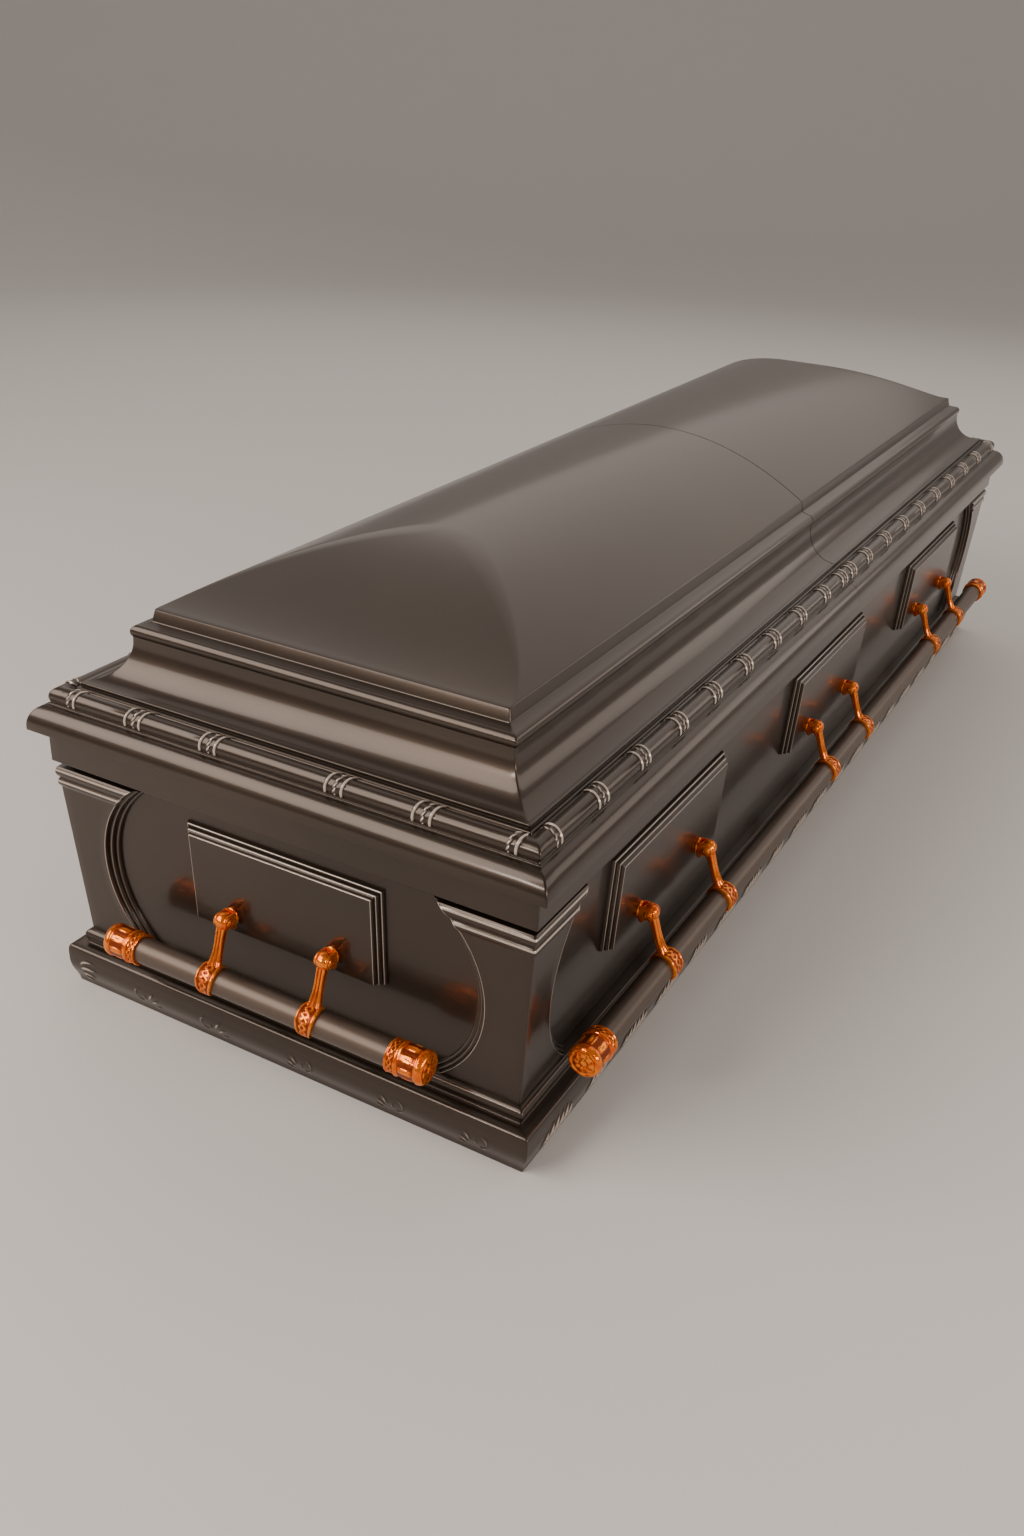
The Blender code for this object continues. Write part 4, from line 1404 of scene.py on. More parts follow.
    def _painted_crest_highlight(self, side: Side, along: Array, height: Array) -> Array:
        """Where the reeds' crests get a painted highlight.

        Args:
            side: the side of the casket.
            along: places along it, rows by columns.
            height: heights of the rows, one column wide.

        Returns:
            How strong the painted highlight is at each place, 0 to 1.
        """
        s = self.sizes
        edge = side.half - s.post_foot_inset - self.post_edge(height)
        distance = np.abs(along) - edge
        crests = np.zeros_like(along)
        for place in self.BAND_CRESTS:
            crests = np.maximum(crests, bump(distance - place, 1.1 * MM))
        on_post = step_up(distance, *self.HEAD_CLEAR)
        for place in self.HEAD_CRESTS:
            crests = np.maximum(crests, on_post * bump(height - place, 2.6 * MM))
        centres, half = self.panels(side)
        for centre in centres:
            inwards = np.minimum(half - np.abs(along - centre), s.panel_top - height)
            inwards = np.where(height > s.panel_foot, inwards, -1.0)
            for place in self.PANEL_CRESTS:
                crests = np.maximum(crests, bump(inwards - place, 1.0 * MM))
        return 0.9 * crests

    def _wall(self, heights: Array) -> tuple[Array, Array]:
        """Outside of the walls.

        Args:
            heights: heights of the rows.

        Returns:
            The points, rows by columns by 3, and the painted highlight of each.
        """
        rows = heights[:, None]
        blocks, crests = [], []
        for side in Side:
            along = self._columns(side, rows)
            blocks.append(side.place(along, self._inset(side, along, rows), rows))
            crests.append(self._painted_crest_highlight(side, along, rows))
        return np.concatenate(blocks, axis=1), np.concatenate(crests, axis=1)

    def _level(self, heights: Array, insets: Array, follow: Array) -> Array:
        """Plain rows whose columns follow the wall's.

        Args:
            heights: height of each row.
            insets: inset of each row.
            follow: height at which each row takes over the wall's columns.

        Returns:
            The points, rows by columns by 3.
        """
        blocks = []
        for side in Side:
            along = self._columns(side, follow[:, None])
            full = np.abs(along).max(axis=1, keepdims=True)
            half = side.half - insets[:, None]
            keep = np.minimum(side.half * 0.45, half * 0.999) if side.long else 0.0
            size = np.abs(along)
            beyond = np.maximum(size - keep, 0.0) * (half - keep) / (full - keep)
            blocks.append(side.place(np.sign(along) * (np.minimum(size, keep) + beyond), insets[:, None],
                                     heights[:, None]))
        return np.concatenate(blocks, axis=1)

    def _heights(self) -> Array:
        """Rows of the wall, close together where its form changes.

        Returns:
            Their heights, rising.
        """
        s = self.sizes
        low, high = s.field_foot[1], s.field_head[1]
        foot = s.panel_foot + np.array([-0.6, 0.0, 0.8, 1.6, 2.4, 3.4]) * MM
        head = np.arange(s.necking_height - 0.6 * MM, high, 0.95 * MM)
        return merged(np.linspace(low, high, 58), foot, s.panel_top - self.EDGE, s.panel_top + 0.6 * MM, head,
                      [low, high], least=0.35 * MM)

    def build(self) -> bpy.types.Object:
        """Make the body with its inside, one closed sheet open at the top.

        Returns:
            The object.
        """
        s = self.sizes
        heights = self._heights()
        wall, crests = self._wall(heights)
        low, high = heights[:1], heights[-1:]
        middle = WIDTH / 2 - 1e-9
        outer_foot = [(middle, s.pan_height), (s.skirt_inset + 3.0 * MM, s.pan_height),
                      (s.skirt_inset, s.pan_height + 3.0 * MM), (s.skirt_inset, low[0] - 0.4 * MM)]
        head_inset = s.field_head[0]
        outer_head = [(head_inset, high[0] + 0.3 * MM), (head_inset, s.collar_top)]
        t = s.sheet
        inner = [(head_inset + t, s.collar_top), (head_inset + t, high[0]), (s.field_foot[0] + t, low[0]),
                 (s.skirt_inset + t, low[0] - t), (s.skirt_inset + t, s.pan_height + t),
                 (middle, s.pan_height + t)]
        surface = Surface()
        below = self._plain(outer_foot, low[0])
        rows = [below, wall, self._plain(outer_head, high[0]), self._plain(inner, high[0])]
        points = np.concatenate(rows, axis=0)
        marks = np.zeros(points.shape[:2])
        # The reeds' crests carry their painted highlight in the raised attribute.
        marks[len(below):len(below) + len(wall)] = crests
        grid = surface.grid(points, marks, close_columns=True)
        log.info("body: %d rows by %d columns", grid.shape[0], grid.shape[1])
        return surface.build("body_dressed")

    def _plain(self, profile: Sequence[Point], follow: float) -> Array:
        """Rows of a plain profile, whose columns follow the wall's at one height."""
        line = np.array(profile)
        return self._level(line[:, 1], line[:, 0], np.full(len(line), follow))


@dataclass(frozen=True)
class HandleSizes:
    """Sizes of the bar handles, seen from the pin: outwards is -Y, up is +Z."""

    bar_radius: float = 17.0 * MM
    bar_wall: float = 1.5 * MM
    overhang: float = 14.0 * MM
    bar_height: float = 129.0 * MM
    side_half: float = 960.0 * MM
    end_half: float = 226.0 * MM
    cap_sleeve: float = 36.0 * MM
    pin_inset: float = 11.5 * MM
    pin_height: float = 201.0 * MM
    pin_radius: float = 3.0 * MM
    arm_offset: float = 94.6 * MM
    end_offset: float = 76.0 * MM
    pitch: float = 650.0 * MM
    knuckle: float = 10.5 * MM
    knuckle_width: float = 13.0 * MM
    lug_behind: float = 15.8 * MM
    panel_lean: float = math.atan2(13.0, 244.0)

    @property
    def bar_centre(self) -> Vector:
        """The bar's centre seen from the pin."""
        return Vector((0.0, -(self.overhang + self.pin_inset), self.bar_height - self.pin_height))

    def half(self, side: Side) -> float:
        """Half of the bar's length on one side."""
        return self.side_half if side.long else self.end_half

    def arms(self, side: Side) -> list[float]:
        """Places of the arms.

        Args:
            side: the side that they are on.

        Returns:
            Places along it, from left to right.
        """
        if not side.long:
            return [-self.end_offset, self.end_offset]
        return [k * self.pitch + shift for k in (-1, 0, 1) for shift in (-self.arm_offset, self.arm_offset)]

    def pin(self, side: Side) -> Matrix:
        """Matrix that carries a thing made at the pin to its place on one side."""
        shift = (0.0, self.pin_inset - side.reach, self.pin_height)
        return Matrix.Rotation(side.turn, 4, "Z") @ Matrix.Translation(shift)


@dataclass(frozen=True)
class Handle:
    """The pieces of one bar handle."""

    sizes: HandleSizes
    side: Side

    def bar(self) -> bpy.types.Object:
        """Painted tube with its bore.

        Returns:
            The object.
        """
        s = self.sizes
        half = s.half(self.side)
        outer, inner, soft = s.bar_radius, s.bar_radius - s.bar_wall, 0.4 * MM
        stations = np.linspace(-half + soft, half - soft, 25)
        profile = np.vstack([
            [(-half, inner), (-half, outer - soft)], np.stack([stations, np.full(25, outer)], axis=1),
            [(half, outer - soft), (half, inner)], np.stack([stations[::-6], np.full(5, inner)], axis=1),
        ])
        surface = Surface()
        surface.turned(profile, 56)
        surface.transform(s.pin(self.side) @ Matrix.Translation(s.bar_centre))
        return surface.build(self.side.value + "_bar_tube")

    def cap(self, sign: float) -> bpy.types.Object:
        """Cup over the bar's end: engraved sleeve, bright ring, leafy drum and a rosette on its end.

        Args:
            sign: 1 for the cap on the right, -1 for the one on the left.

        Returns:
            The object.
        """
        s = self.sizes
        bore = s.bar_radius + 0.35 * MM
        rows = [(0.0, bore / MM), (0.0, 20.1), (0.5, 20.8), (1.4, 21.0), (2.2, 20.6), (2.6, 20.0)]
        rows += [(3.0 + 0.8 * k, 20.0) for k in range(12)]
        rows += [(12.2, 20.0), (12.6, 20.9), (13.4, 21.8), (14.6, 22.0), (15.7, 21.6), (16.3, 20.7),
                 (16.8, 20.2)]
        rows += [(17.4 + 0.95 * k, 20.4) for k in range(25)]
        rows += [(40.9, 20.3), (41.4, 20.9), (42.4, 21.5), (43.8, 21.6), (45.2, 21.2)]
        shoulder = np.linspace(0.2, 1.5, 8)
        rows += [(45.2 + 5.6 * math.sin(turn), 15.8 + 5.4 * math.cos(turn)) for turn in shoulder]
        rows += [(50.3, 14.8), (50.2, 14.0), (50.7, 12.8), (51.2, 11.0), (51.5, 9.0), (51.5, 7.2),
                 (51.1, 5.8), (50.9, 5.0), (51.5, 4.2), (52.2, 2.8), (52.5, 1.4), (52.6, 0.0)]
        outer_count = len(rows)
        profile = np.array(rows) * MM
        profile = np.vstack([profile, [(s.cap_sleeve, 0.0), (s.cap_sleeve, bore)]])
        outside = (np.arange(len(profile)) < outer_count)[:, None]

        def relief(along: Array, angle: Array) -> tuple[Array, Array]:
            """The cap's ornament, on its outside only."""
            lift, mark = self._cap_relief(along, angle)
            return np.where(outside, lift, 0.0), np.where(outside, mark, 0.0)

        surface = Surface()
        surface.turned(profile, 112, relief)
        mouth = s.half(self.side) + 0.3 * MM - s.cap_sleeve
        turn = Matrix.Identity(4) if sign > 0 else Matrix.Rotation(math.pi, 4, "Z")
        surface.transform(s.pin(self.side) @ Matrix.Translation(s.bar_centre) @ turn
                          @ Matrix.Translation((mouth, 0.0, 0.0)))
        label = "right" if sign > 0 else "left"
        return surface.build(f"{self.side.value}_cap_cup_{label}")

    @staticmethod
    def _cap_relief(along: Array, angle: Array) -> tuple[Array, Array]:
        """Crossed scrolls on the sleeve, veined leaves on the drum and petals on the end.

        Args:
            along: places from the cap's mouth.
            angle: angles round the bar.

        Returns:
            What is added to the radius, and how far each place is raised or sunk.
        """
        sleeve_middle, drum_middle, petal_middle = 7.4 * MM, 29.0 * MM, 51.0 * MM
        lobes, waves = 8.0, 7.0
        sleeve = step_up(along, 2.8 * MM, 3.6 * MM) * step_up(-along, -12.2 * MM, -11.4 * MM)
        wave = 2.6 * MM * np.sin(waves * angle)
        scroll = np.maximum(bump(along - sleeve_middle - wave, 1.7 * MM),
                            bump(along - sleeve_middle + wave, 1.3 * MM))
        drum = step_up(along, 17.6 * MM, 18.8 * MM) * step_up(-along, -40.6 * MM, -39.4 * MM)
        leaf = bump((along - drum_middle) / (11.5 * MM), 1.0) * step_up(np.cos(lobes * angle), -0.35, 0.25)
        vein = bump(np.sin(lobes / 2 * angle), 0.12) * bump((along - drum_middle) / (10.0 * MM), 1.0)
        petals = step_up(along, 50.25 * MM, 50.8 * MM) * step_up(-along, -51.7 * MM, -51.4 * MM)
        petal = 0.5 + 0.5 * np.cos(lobes * angle + 700.0 * (along - petal_middle))
        lift = (sleeve * (0.9 * scroll - 0.5) + drum * (0.95 * leaf - 0.5 * vein - 0.35)
                + 0.5 * petals * petal)
        # The mark sets painted shade in the sunk ground and veins and a painted highlight on the scrolls,
        # leaves and petals.
        mark = (sleeve * (1.6 * scroll - 1.0) + drum * (1.5 * leaf - 0.9 * vein - 0.8)
                + petals * (petal - 0.6))
        return lift * MM, np.clip(mark, -1.0, 1.0)

    def _knuckle(self, surface: Surface) -> None:
        """Rounded knuckle that turns on the pin.

        Args:
            surface: the surface that takes it.
        """
        s = self.sizes
        half, radius, bore = s.knuckle_width / 2, s.knuckle, s.pin_radius + 0.2 * MM
        across = np.linspace(-half, half, 15)
        ball = (radius + 1.0 * MM) * np.sqrt(1.0 - (across / (1.75 * half)) ** 2)
        surface.turned(np.vstack([[(-half, bore)], np.stack([across, ball], axis=1), [(half, bore)]]), 36)

    def _stem(self, surface: Surface) -> None:
        """Fluted stem from the knuckle to the collar, waisted and then flared.

        Args:
            surface: the surface that takes it.
        """
        centre = self.sizes.bar_centre
        down = np.array(centre.normalized())
        across = np.array((1.0, 0.0, 0.0))
        out = np.cross(down, across)
        share = np.array([0.0, 0.06, 0.14, 0.25, 0.37, 0.5, 0.62, 0.72, 0.81, 0.89, 0.95, 1.0])
        reach = (7.0 + 54.5 * share) * MM
        width = np.interp(share, [0, 0.14, 0.37, 0.62, 0.81, 1], [14.5, 13.8, 13.2, 14.2, 17.5, 22.5]) * MM
        depth = np.interp(share, [0, 0.14, 0.4, 0.7, 0.9, 1], [13.0, 10.5, 8.6, 8.6, 10.0, 11.5]) * MM
        shift = np.interp(share, [0, 0.2, 0.6, 0.8, 1], [0.0, 0.8, 0.8, 1.8, 3.6]) * MM
        angle = np.linspace(0.0, 2.0 * math.pi, 56, endpoint=False)
        side = np.sign(np.cos(angle)) * np.abs(np.cos(angle)) ** 0.7
        face = np.sign(np.sin(angle)) * np.abs(np.sin(angle)) ** 0.7
        flute = np.where(np.sin(angle) > 0.05, 0.8 * MM * np.cos(3.0 * math.pi * side), 0.0)
        loops = []
        for k in range(len(share)):
            loop = (down * reach[k] + out * shift[k] + across * (side * width[k] / 2)[:, None]
                    + out * (face * depth[k] / 2 + flute)[:, None])
            loops.append(loop)
        points = np.array(loops)
        # Flute crests get a painted highlight and the grooves between them painted shade.
        index = surface.grid(points, np.repeat((1.2 * flute / MM)[None, :].clip(-0.8, 1), len(share), axis=0),
                             close_columns=True)
        surface.cap(list(index[0, :-1]))
        surface.cap(list(index[-1, :-1]))

    def _collar(self, surface: Surface) -> None:
        """Collar round the bar: wide and thick in front, with raised rims round a sunk scroll.

        Args:
            surface: the surface that takes it.
        """
        s = self.sizes
        centre = np.array(s.bar_centre)
        down = centre / np.linalg.norm(centre)
        across = np.array((1.0, 0.0, 0.0))
        out = np.cross(down, across)
        turn = np.linspace(0.0, 360.0, 96, endpoint=False)
        keys = [0, 25, 60, 90, 120, 150, 178, 200, 300, 335, 360]
        wide = np.interp(turn, keys, [22, 25, 26, 24.5, 20, 13, 7, 7, 10, 16, 22]) * MM / 2
        thick = np.interp(turn, keys, [4.2, 4.8, 5.2, 5.0, 4.4, 3.4, 2.4, 2.2, 2.2, 3.0, 4.2]) * MM
        half = np.array([0.15, 0.3, 0.44, 0.58, 0.7, 0.75, 0.8, 0.87, 0.94, 0.985, 1.0])
        side = np.concatenate([-half[::-1], [0.0], half])[:, None]
        rim = 0.55 + 0.45 * quarter(1.0 - np.abs(side), 0.0, 0.1)
        shield = step_up(-np.abs(side), -0.79, -0.71)
        shield = shield * step_up(turn, 14.0, 26.0) * step_up(-turn, -158.0, -144.0)
        swing = 0.36 * np.sin(np.radians(turn * 8.0))
        scroll = np.maximum(bump(side - swing, 0.24), bump(side + swing, 0.18))
        radius = s.bar_radius + 0.3 * MM + thick * rim + shield * (1.1 * scroll - 1.2) * MM
        ring = np.cos(np.radians(turn))[:, None] * -down + np.sin(np.radians(turn))[:, None] * out
        top = centre + radius[..., None] * ring[None] + (side * wide[None, :])[..., None] * across
        inner_radius = s.bar_radius + 0.15 * MM
        across_bore = np.array([[1.0], [0.0], [-1.0]]) * wide[None, :]
        inner = centre + inner_radius * ring[None] + across_bore[..., None] * across
        # Painted shade fills the sunk ground round the scroll; the scroll and the rims get a painted
        # highlight.
        raised = np.vstack([shield * (1.7 * scroll - 1.0) + (1.0 - shield) * 0.6, np.zeros((3, len(turn)))])
        surface.grid(np.concatenate([top, inner]), raised, close_rows=True, close_columns=True)

    def arm(self, number: int, along: float) -> bpy.types.Object:
        """Cast arm: knuckle, fluted stem and collar.

        Args:
            number: its number on this side, from 1.
            along: its place along the side.

        Returns:
            The object.
        """
        surface = Surface()
        self._knuckle(surface)
        self._stem(surface)
        self._collar(surface)
        surface.transform(self.sizes.pin(self.side) @ Matrix.Translation((along, 0.0, 0.0)))
        return surface.build(f"{self.side.value}_arm_cast_{number}", sharp_degrees=50.0)

    def lug(self, number: int, along: float) -> bpy.types.Object:
        """Plate on the panel with two cheeks, the pin between them and its domed heads.

        Args:
            number: its number on this side, from 1.
            along: its place along the side.

        Returns:
            The object.
        """
        s = self.sizes
        surface = Surface()
        behind = s.lug_behind
        angle = np.linspace(0.0, 2.0 * math.pi, 40, endpoint=False)
        scale = np.array([1.0, 1.0, 0.97, 0.86, 0.5, 0.0])[:, None]
        back = np.array([0.0, 1.2, 2.0, 2.8, 3.3, 3.5])[:, None] * MM
        plate = np.stack(np.broadcast_arrays(10.0 * MM * scale * np.cos(angle), behind - back,
                                             12.5 * MM * scale * np.sin(angle) - 2.0 * MM), axis=-1)
        index = surface.grid(plate, close_columns=True)
        surface.cap(list(index[0, :-1]))
        for sign in (-1.0, 1.0):
            self._cheek(surface, sign)
        head = np.array([(0.0, 0.0), (0.0, 6.3), (0.9, 6.1), (1.9, 5.2), (2.6, 3.9), (2.9, 2.7), (2.6, 2.1),
                         (3.0, 1.2), (3.2, 0.0)]) * MM
        outer = s.knuckle_width / 2 + 3.0 * MM
        for sign in (-1.0, 1.0):
            surface.turned(np.stack([sign * (head[:, 0] + outer - 0.2 * MM), head[:, 1]], axis=1), 24)
        pin = [(-outer, 0.0), (-outer, s.pin_radius), (outer, s.pin_radius), (outer, 0.0)]
        surface.turned(np.array(pin), 20)
        surface.transform(s.pin(self.side) @ Matrix.Translation((along, 0.0, 0.0))
                          @ Matrix.Rotation(s.panel_lean, 4, "X"))
        return surface.build(f"{self.side.value}_lug_fork_{number}", sharp_degrees=40.0)

    def _cheek(self, surface: Surface, sign: float) -> None:
        """One cheek: a disc round the pin that runs back to the plate, with a curled tail below.

        Args:
            surface: the surface that takes it.
            sign: 1 for the cheek on the right, -1 for the one on the left.
        """
        s = self.sizes
        inner = s.knuckle_width / 2 + 0.4 * MM
        behind = s.lug_behind - 2.0 * MM
        around = np.radians(np.linspace(75.0, 285.0, 19))
        front = np.stack([9.3 * MM * np.cos(around), 9.3 * MM * np.sin(around)], axis=1)
        outline = np.vstack([[(behind, 8.0 * MM)], front, [(6.0 * MM, -12.4 * MM), (7.6 * MM, -15.4 * MM),
                             (11.0 * MM, -15.6 * MM), (12.8 * MM, -12.8 * MM), (behind, -9.0 * MM)]])
        middle = outline.mean(axis=0)
        levels = [(0.0, 1.0), (1.0 * MM, 0.995), (2.0 * MM, 0.96), (2.7 * MM, 0.9), (3.0 * MM, 0.83)]
        rows = []
        for reach, scale in levels:
            flat = middle + (outline - middle) * scale
            rows.append(np.column_stack([np.full(len(flat), sign * (inner + reach)), flat]))
        index = surface.grid(np.array(rows), close_columns=True)
        surface.cap(list(index[0, :-1]))
        surface.cap(list(index[-1, :-1]))


@dataclass(frozen=True)
class Signal:
    """One output of a shader graph, with arithmetic."""

    graph: Graph
    socket: bpy.types.NodeSocket

    def _math(self, operation: str, first: Signal | float, second: Signal | float) -> Signal:
        """A maths node over two values."""
        node = self.graph.node("ShaderNodeMath", {0: first, 1: second}, operation=operation)
        return Signal(self.graph, node.outputs[0])

    def __add__(self, other: Signal | float) -> Signal:
        """This plus other."""
        return self._math("ADD", self, other)

    def __radd__(self, other: Signal | float) -> Signal:
        """Other plus this."""
        return self._math("ADD", other, self)

    def __sub__(self, other: Signal | float) -> Signal:
        """This less other."""
        return self._math("SUBTRACT", self, other)

    def __rsub__(self, other: Signal | float) -> Signal:
        """Other less this."""
        return self._math("SUBTRACT", other, self)

    def __mul__(self, other: Signal | float) -> Signal:
        """This times other."""
        return self._math("MULTIPLY", self, other)

    def __rmul__(self, other: Signal | float) -> Signal:
        """Other times this."""
        return self._math("MULTIPLY", other, self)

    def __truediv__(self, other: Signal | float) -> Signal:
        """This over other."""
        return self._math("DIVIDE", self, other)

    def __rtruediv__(self, other: Signal | float) -> Signal:
        """Other over this."""
        return self._math("DIVIDE", other, self)

    def between(self, low: float, high: float) -> Signal:
        """Share of the way from low to high, smooth and held within 0 to 1.

        Args:
            low: value at which it is 0.
            high: value at which it is 1.

        Returns:
            The share.
        """
        node = self.graph.node("ShaderNodeMapRange", {0: self, 1: low, 2: high, 3: 0.0, 4: 1.0},
                               interpolation_type="SMOOTHSTEP", clamp=True)
        return Signal(self.graph, node.outputs[0])

    def colours(self, low: Signal | Colour, high: Colour) -> Signal:
        """Colour between low, where this is 0, and high, where it is 1.

        Args:
            low: a colour, or a signal that carries one.
            high: a colour.

        Returns:
            The mixed colour.
        """
        first = low if isinstance(low, Signal) else (*low, 1.0)
        node = self.graph.node("ShaderNodeMix", {0: self, 6: first, 7: (*high, 1.0)}, data_type="RGBA",
                               clamp_factor=True)
        return Signal(self.graph, node.outputs[2])


class Graph:
    """The node graph of one material."""

    def __init__(self, name: str) -> None:
        """Make the material and find its shader.

        Args:
            name: name of the material.
        """
        self.material = bpy.data.materials.new(name)
        self.material.use_nodes = True
        self.tree = self.material.node_tree
        self.shader = self.tree.nodes["Principled BSDF"]

    def node(self, kind: str, inputs: dict[str | int, Any] | None = None, **settings: Any) -> bpy.types.Node:
        """Make one node.

        Args:
            kind: the node's type.
            inputs: values or signals by socket name or number.
            settings: properties of the node itself.

        Returns:
            The node.
        """
        made = self.tree.nodes.new(kind)
        for key, value in settings.items():
            setattr(made, key, value)
        for key, value in (inputs or {}).items():
            self._feed(made.inputs[key], value)
        return made

    def _feed(self, socket: bpy.types.NodeSocket, value: Any) -> None:
        """Give a socket what it is to carry.

        Args:
            socket: the socket.
            value: a signal that is linked to it, or a value that it is set to.
        """
        if isinstance(value, Signal):
            self.tree.links.new(value.socket, socket)
        else:
            socket.default_value = value

    @cached_property
    def coordinates(self) -> Signal:
        """The piece's own coordinates, in metres, from one node for the whole graph."""
        return Signal(self, self.node("ShaderNodeTexCoord").outputs["Object"])

    @property
    def raised(self) -> Signal:
        """How far the surface stands proud as ornament, 0 to 1, or is sunk in it, down to -1: the mask of
        painted highlight and painted shade.
        """
        return Signal(self, self.node("ShaderNodeAttribute", attribute_name="raised").outputs["Fac"])

    def noise(self, scale: float, detail: float = 2.0, roughness: float = 0.5) -> Signal:
        """Soft noise, with scale in features to a metre."""
        inputs = {"Vector": self.coordinates, "Scale": scale, "Detail": detail, "Roughness": roughness}
        return Signal(self, self.node("ShaderNodeTexNoise", inputs).outputs["Fac"])

    def bump(self, height: Signal, distance: float, strength: float = 1.0) -> Signal:
        """Normal of a surface whose relief is height times distance."""
        node = self.node("ShaderNodeBump", {"Height": height, "Distance": distance, "Strength": strength})
        return Signal(self, node.outputs["Normal"])

    def set(self, **values: Any) -> None:
        """Set or link the shader's sockets. An underscore in a name stands for a space."""
        for key, value in values.items():
            self._feed(self.shader.inputs[key.replace("_", " ")], value)


@dataclass(frozen=True)
class TaupeEnamel:
    """Warm taupe metallic enamel under a clear coat."""

    colour: Colour = (0.038, 0.026, 0.018)
    light: Colour = (0.060, 0.041, 0.029)
    # Pale colour painted on raised ornament and reed crests as a highlight.
    painted_highlight: Colour = (0.66, 0.56, 0.48)
    roughness: float = 0.33
    coat: float = 0.5
    coat_roughness: float = 0.12
    metallic: float = 0.78

    def make(self, name: str = "taupe_enamel_finish") -> bpy.types.Material:
        """Cloudy tone, fine flake, orange peel in the coat, and a painted highlight that makes raised
        ornament and reed crests pale and less metallic.

        Args:
            name: name of the material.

        Returns:
            The material.
        """
        graph = Graph(name)
        cloud = graph.noise(3.2, 3.0, 0.55)
        flake = graph.noise(900.0, 1.0, 0.6)
        base = (cloud * 0.75 + flake * 0.35 - 0.05).between(0.25, 0.85).colours(self.colour, self.light)
        # Painted highlight: where ornament stands proud or a reed's crest runs, the paint turns pale and less
        # metallic so that it reads as lit.
        highlight_mask = graph.raised.between(0.35, 0.95)
        peel = graph.noise(420.0, 2.0, 0.5)
        graph.set(Base_Color=(highlight_mask * 0.9).colours(base, self.painted_highlight), Metallic=self.metallic - highlight_mask * 0.45,
                  Roughness=self.roughness + (flake - 0.5) * 0.06 + (cloud - 0.5) * 0.05 - highlight_mask * 0.06,
                  Coat_Weight=self.coat, Coat_Roughness=self.coat_roughness, Coat_IOR=1.5,
                  Normal=graph.bump(peel, 0.006 * MM))
        return graph.material


@dataclass(frozen=True)
class PolishedCopper:
    """Polished copper plate over castings, with painted shade darkening the sunk places."""

    colour: Colour = (1.0, 0.26, 0.020)
    toned: Colour = (0.80, 0.115, 0.005)
    # Near-black painted shade for the sunk places.
    sunk: Colour = (0.12, 0.020, 0.004)
    metallic: float = 0.72
    roughness: float = 0.09

    def make(self, name: str = "polished_copper_finish") -> bpy.types.Material:
        """Bright copper with an uneven cast surface, darker in patches, a little brighter on raised ornament
        as painted highlight and near black in the hollows as painted shade.

        Args:
            name: name of the material.

        Returns:
            The material.
        """
        graph = Graph(name)
        patch = graph.noise(70.0, 3.0, 0.6)
        grain = graph.noise(240.0, 2.0, 0.55)
        # Patches differ at random; raised ornament leans to the bright colour as a painted highlight.
        tone = (patch * 1.1 + graph.raised * 0.3).between(0.34, 0.7).colours(self.toned, self.colour)
        # Painted shade: the sunk places turn near black.
        hollow_shade = (0.0 - graph.raised).between(0.15, 0.75)
        graph.set(Base_Color=(hollow_shade * 0.85).colours(tone, self.sunk), Metallic=self.metallic,
                  Roughness=self.roughness + grain.between(0.3, 0.8) * 0.1 + hollow_shade * 0.25,
                  Normal=graph.bump(grain * 0.4 + patch, 1.3 * MM, 0.6))
        return graph.material


@dataclass(frozen=True)
class PaleFloor:
    """Plain pale floor that curves up into a backdrop all round."""

    colour: Colour = (0.66, 0.64, 0.62)
    flat: float = 5.5
    curve: float = 3.0
    wall: float = 1.6
    sides: int = 96

    def build(self) -> None:
        """Make the floor: a disc, a quarter round up from its edge and a low wall."""
        bend = arc((self.flat, self.curve), (self.curve, self.curve), -90.0, 0.0, 12)
        top = (self.flat + self.curve, self.curve + self.wall)
        line = np.vstack([[(0.01, 0.0), (2.5, 0.0)], bend, [top]])
        angle = np.linspace(0.0, 2.0 * math.pi, self.sides, endpoint=False)[None, :]
        radius, height = line[:, :1], line[:, 1:]
        around = np.broadcast_arrays(radius * np.cos(angle), radius * np.sin(angle), height)
        points = np.stack(around, axis=-1)
        surface = Surface()
        index = surface.grid(points, close_columns=True)
        surface.cap(list(index[0, :-1]))
        floor = surface.build("floor", sharp_degrees=60.0)
        graph = Graph("pale_floor")
        graph.set(Base_Color=(*self.colour, 1.0), Roughness=0.9)
        floor.data.materials.append(graph.material)


@dataclass(frozen=True)
class SoftBox:
    """One rectangular light."""

    name: str
    place: Place
    aim: Place
    size: tuple[float, float]
    power: float
    colour: Colour = (1.0, 0.90, 0.82)

    def build(self) -> None:
        """Hang the light and turn it to its aim."""
        lamp = bpy.data.lights.new(self.name, "AREA")
        lamp.shape = "RECTANGLE"
        lamp.size, lamp.size_y = self.size
        lamp.energy = self.power
        lamp.color = self.colour
        thing = bpy.data.objects.new(self.name, lamp)
        thing.location = self.place
        thing.rotation_mode = "QUATERNION"
        thing.rotation_quaternion = (Vector(self.aim) - Vector(self.place)).to_track_quat("-Z", "Y")
        bpy.context.scene.collection.objects.link(thing)


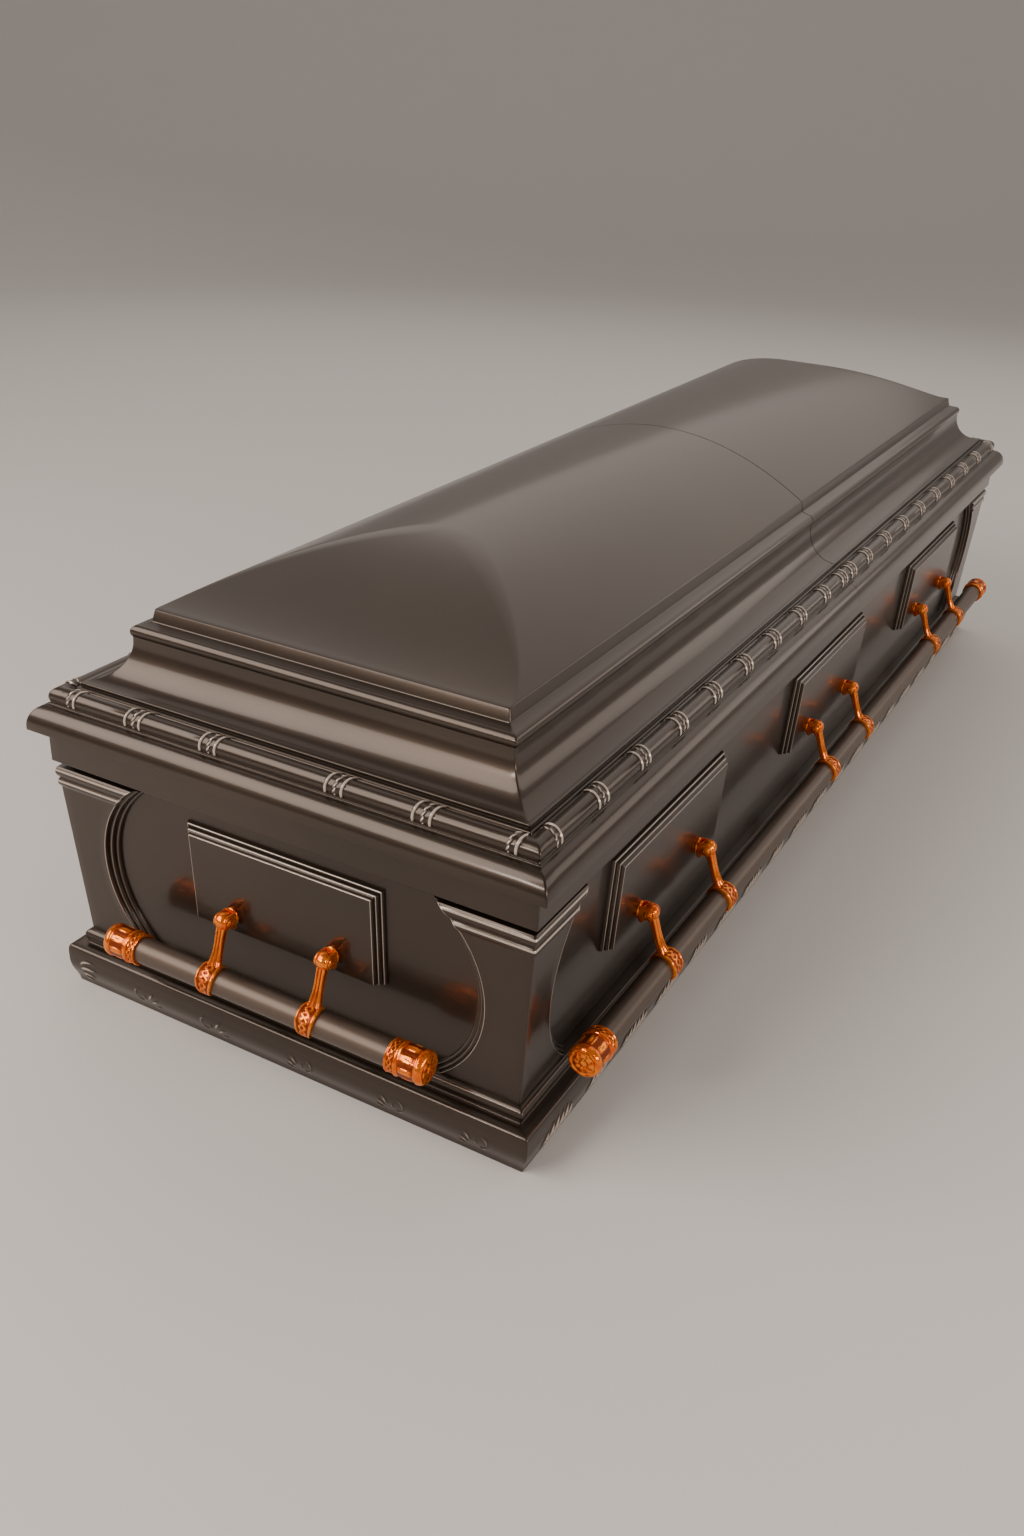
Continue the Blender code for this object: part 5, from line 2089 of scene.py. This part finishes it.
@dataclass(frozen=True)
class Studio:
    """Floor, surrounding light, soft boxes and camera."""

    world: Colour = (0.84, 0.78, 0.73)
    world_strength: float = 0.36
    boxes: tuple[SoftBox, ...] = (
        SoftBox("key_left", (-2.9, 2.1, 2.5), (-0.5, 0.0, 0.3), (3.0, 2.6), 132.0),
        SoftBox("glint_left", (-3.4, 0.6, 1.5), (-1.1, 0.0, 0.15), (0.5, 0.35), 14.0),
        SoftBox("sheen_above", (2.6, 1.0, 3.5), (0.0, 0.0, 0.45), (7.0, 4.8), 78.0),
        SoftBox("glint_front", (-1.2, -3.0, 1.2), (-0.4, -0.4, 0.1), (2.4, 0.6), 42.0),
        SoftBox("sheen_right", (2.8, -3.0, 1.7), (0.0, -0.3, 0.45), (3.4, 1.6), 29.0),
    )
    camera_place: Place = (-2.137, -0.902, 1.171)
    camera_azimuth: float = -61.58
    camera_elevation: float = 27.55
    camera_roll: float = 2.68
    focal_pixels: float = 1390.6
    frame_height: int = 1536
    sensor: float = 36.0

    def build(self) -> None:
        """Set up everything that isn't the casket."""
        PaleFloor().build()
        self._surroundings()
        for box in self.boxes:
            box.build()
        self._camera()

    def _surroundings(self) -> None:
        """Even light from all round."""
        world = bpy.data.worlds.new("studio")
        world.use_nodes = True
        background = world.node_tree.nodes["Background"]
        background.inputs[0].default_value = (*self.world, 1.0)
        background.inputs[1].default_value = self.world_strength
        bpy.context.scene.world = world

    def _camera(self) -> None:
        """Camera from its place, azimuth, elevation, roll and focal length in the photo's pixels."""
        azimuth, elevation = math.radians(self.camera_azimuth), math.radians(self.camera_elevation)
        roll = math.radians(self.camera_roll)
        back = Vector((math.sin(azimuth) * math.cos(elevation), -math.cos(azimuth) * math.cos(elevation),
                       math.sin(elevation)))
        right = Vector((math.cos(azimuth), math.sin(azimuth), 0.0))
        up = back.cross(right)
        side = right * math.cos(roll) + up * math.sin(roll)
        top = up * math.cos(roll) - right * math.sin(roll)
        data = bpy.data.cameras.new("camera")
        data.sensor_width = self.sensor
        data.sensor_fit = "AUTO"
        data.lens = self.focal_pixels / self.frame_height * self.sensor
        camera = bpy.data.objects.new("camera", data)
        turn = Matrix((side, top, back)).transposed().to_4x4()
        camera.matrix_world = Matrix.Translation(self.camera_place) @ turn
        bpy.context.scene.collection.objects.link(camera)
        bpy.context.scene.camera = camera


@dataclass
class Casket:
    """All the dressed pieces, and where each rides."""

    paint: bpy.types.Material = field(default_factory=lambda: TaupeEnamel().make())
    # The bars' enamel: rougher, with less coat, and about three times paler than the paint as painted
    # highlight.
    satin_painted_highlight: bpy.types.Material = field(default_factory=lambda: TaupeEnamel(
        colour=(0.105, 0.077, 0.060), light=(0.140, 0.105, 0.083), roughness=0.5, coat=0.3,
        coat_roughness=0.25).make("taupe_satin_painted_highlight"))
    copper: bpy.types.Material = field(default_factory=lambda: PolishedCopper().make())

    def _dress(self, piece: bpy.types.Object, body: str, finish: bpy.types.Material, *nodes: str) -> None:
        """Give a piece its finish, its body and the solids it stands for.

        Args:
            piece: the object.
            body: the body that it rides.
            finish: its material.
            nodes: names of the solids that it replaces.
        """
        piece.data.materials.append(finish)
        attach(piece, body)
        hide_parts(*nodes)
        log.info("%s: %d faces", piece.name, len(piece.data.polygons))

    def build(self) -> None:
        """Make every piece."""
        self._dress(Body().build(), "casket", self.paint, "body_shell")
        self._dress(BaseMoulding().build(), "casket", self.paint, "base_moulding")
        rim, lid = RimMoulding(), Lid()
        for end in End:
            self._dress(rim.build(end), "casket", self.paint, "rim_" + end.value)
            self._dress(lid.build(end), "casket", self.paint, "lid_" + end.value)
        for side in Side:
            self._handle(side)

    def _handle(self, side: Side) -> None:
        """Make the pieces of one handle.

        Args:
            side: the side that it hangs on.
        """
        sizes = HandleSizes()
        handle = Handle(sizes, side)
        body = side.value + "_handle"
        self._dress(handle.bar(), body, self.satin_painted_highlight, side.value + "_bar")
        for label, sign in (("left", -1.0), ("right", 1.0)):
            self._dress(handle.cap(sign), body, self.copper, f"{side.value}_cap_{label}")
        for number, along in enumerate(sizes.arms(side), start=1):
            self._dress(handle.arm(number, along), body, self.copper, f"{side.value}_arm_{number}")
            self._dress(handle.lug(number, along), "casket", self.copper, f"{side.value}_lug_{number}")


def main() -> None:
    """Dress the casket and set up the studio."""
    logging.basicConfig(level=logging.INFO, format="%(message)s")
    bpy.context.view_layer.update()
    Casket().build()
    Studio().build()


if __name__ == "__main__":
    main()
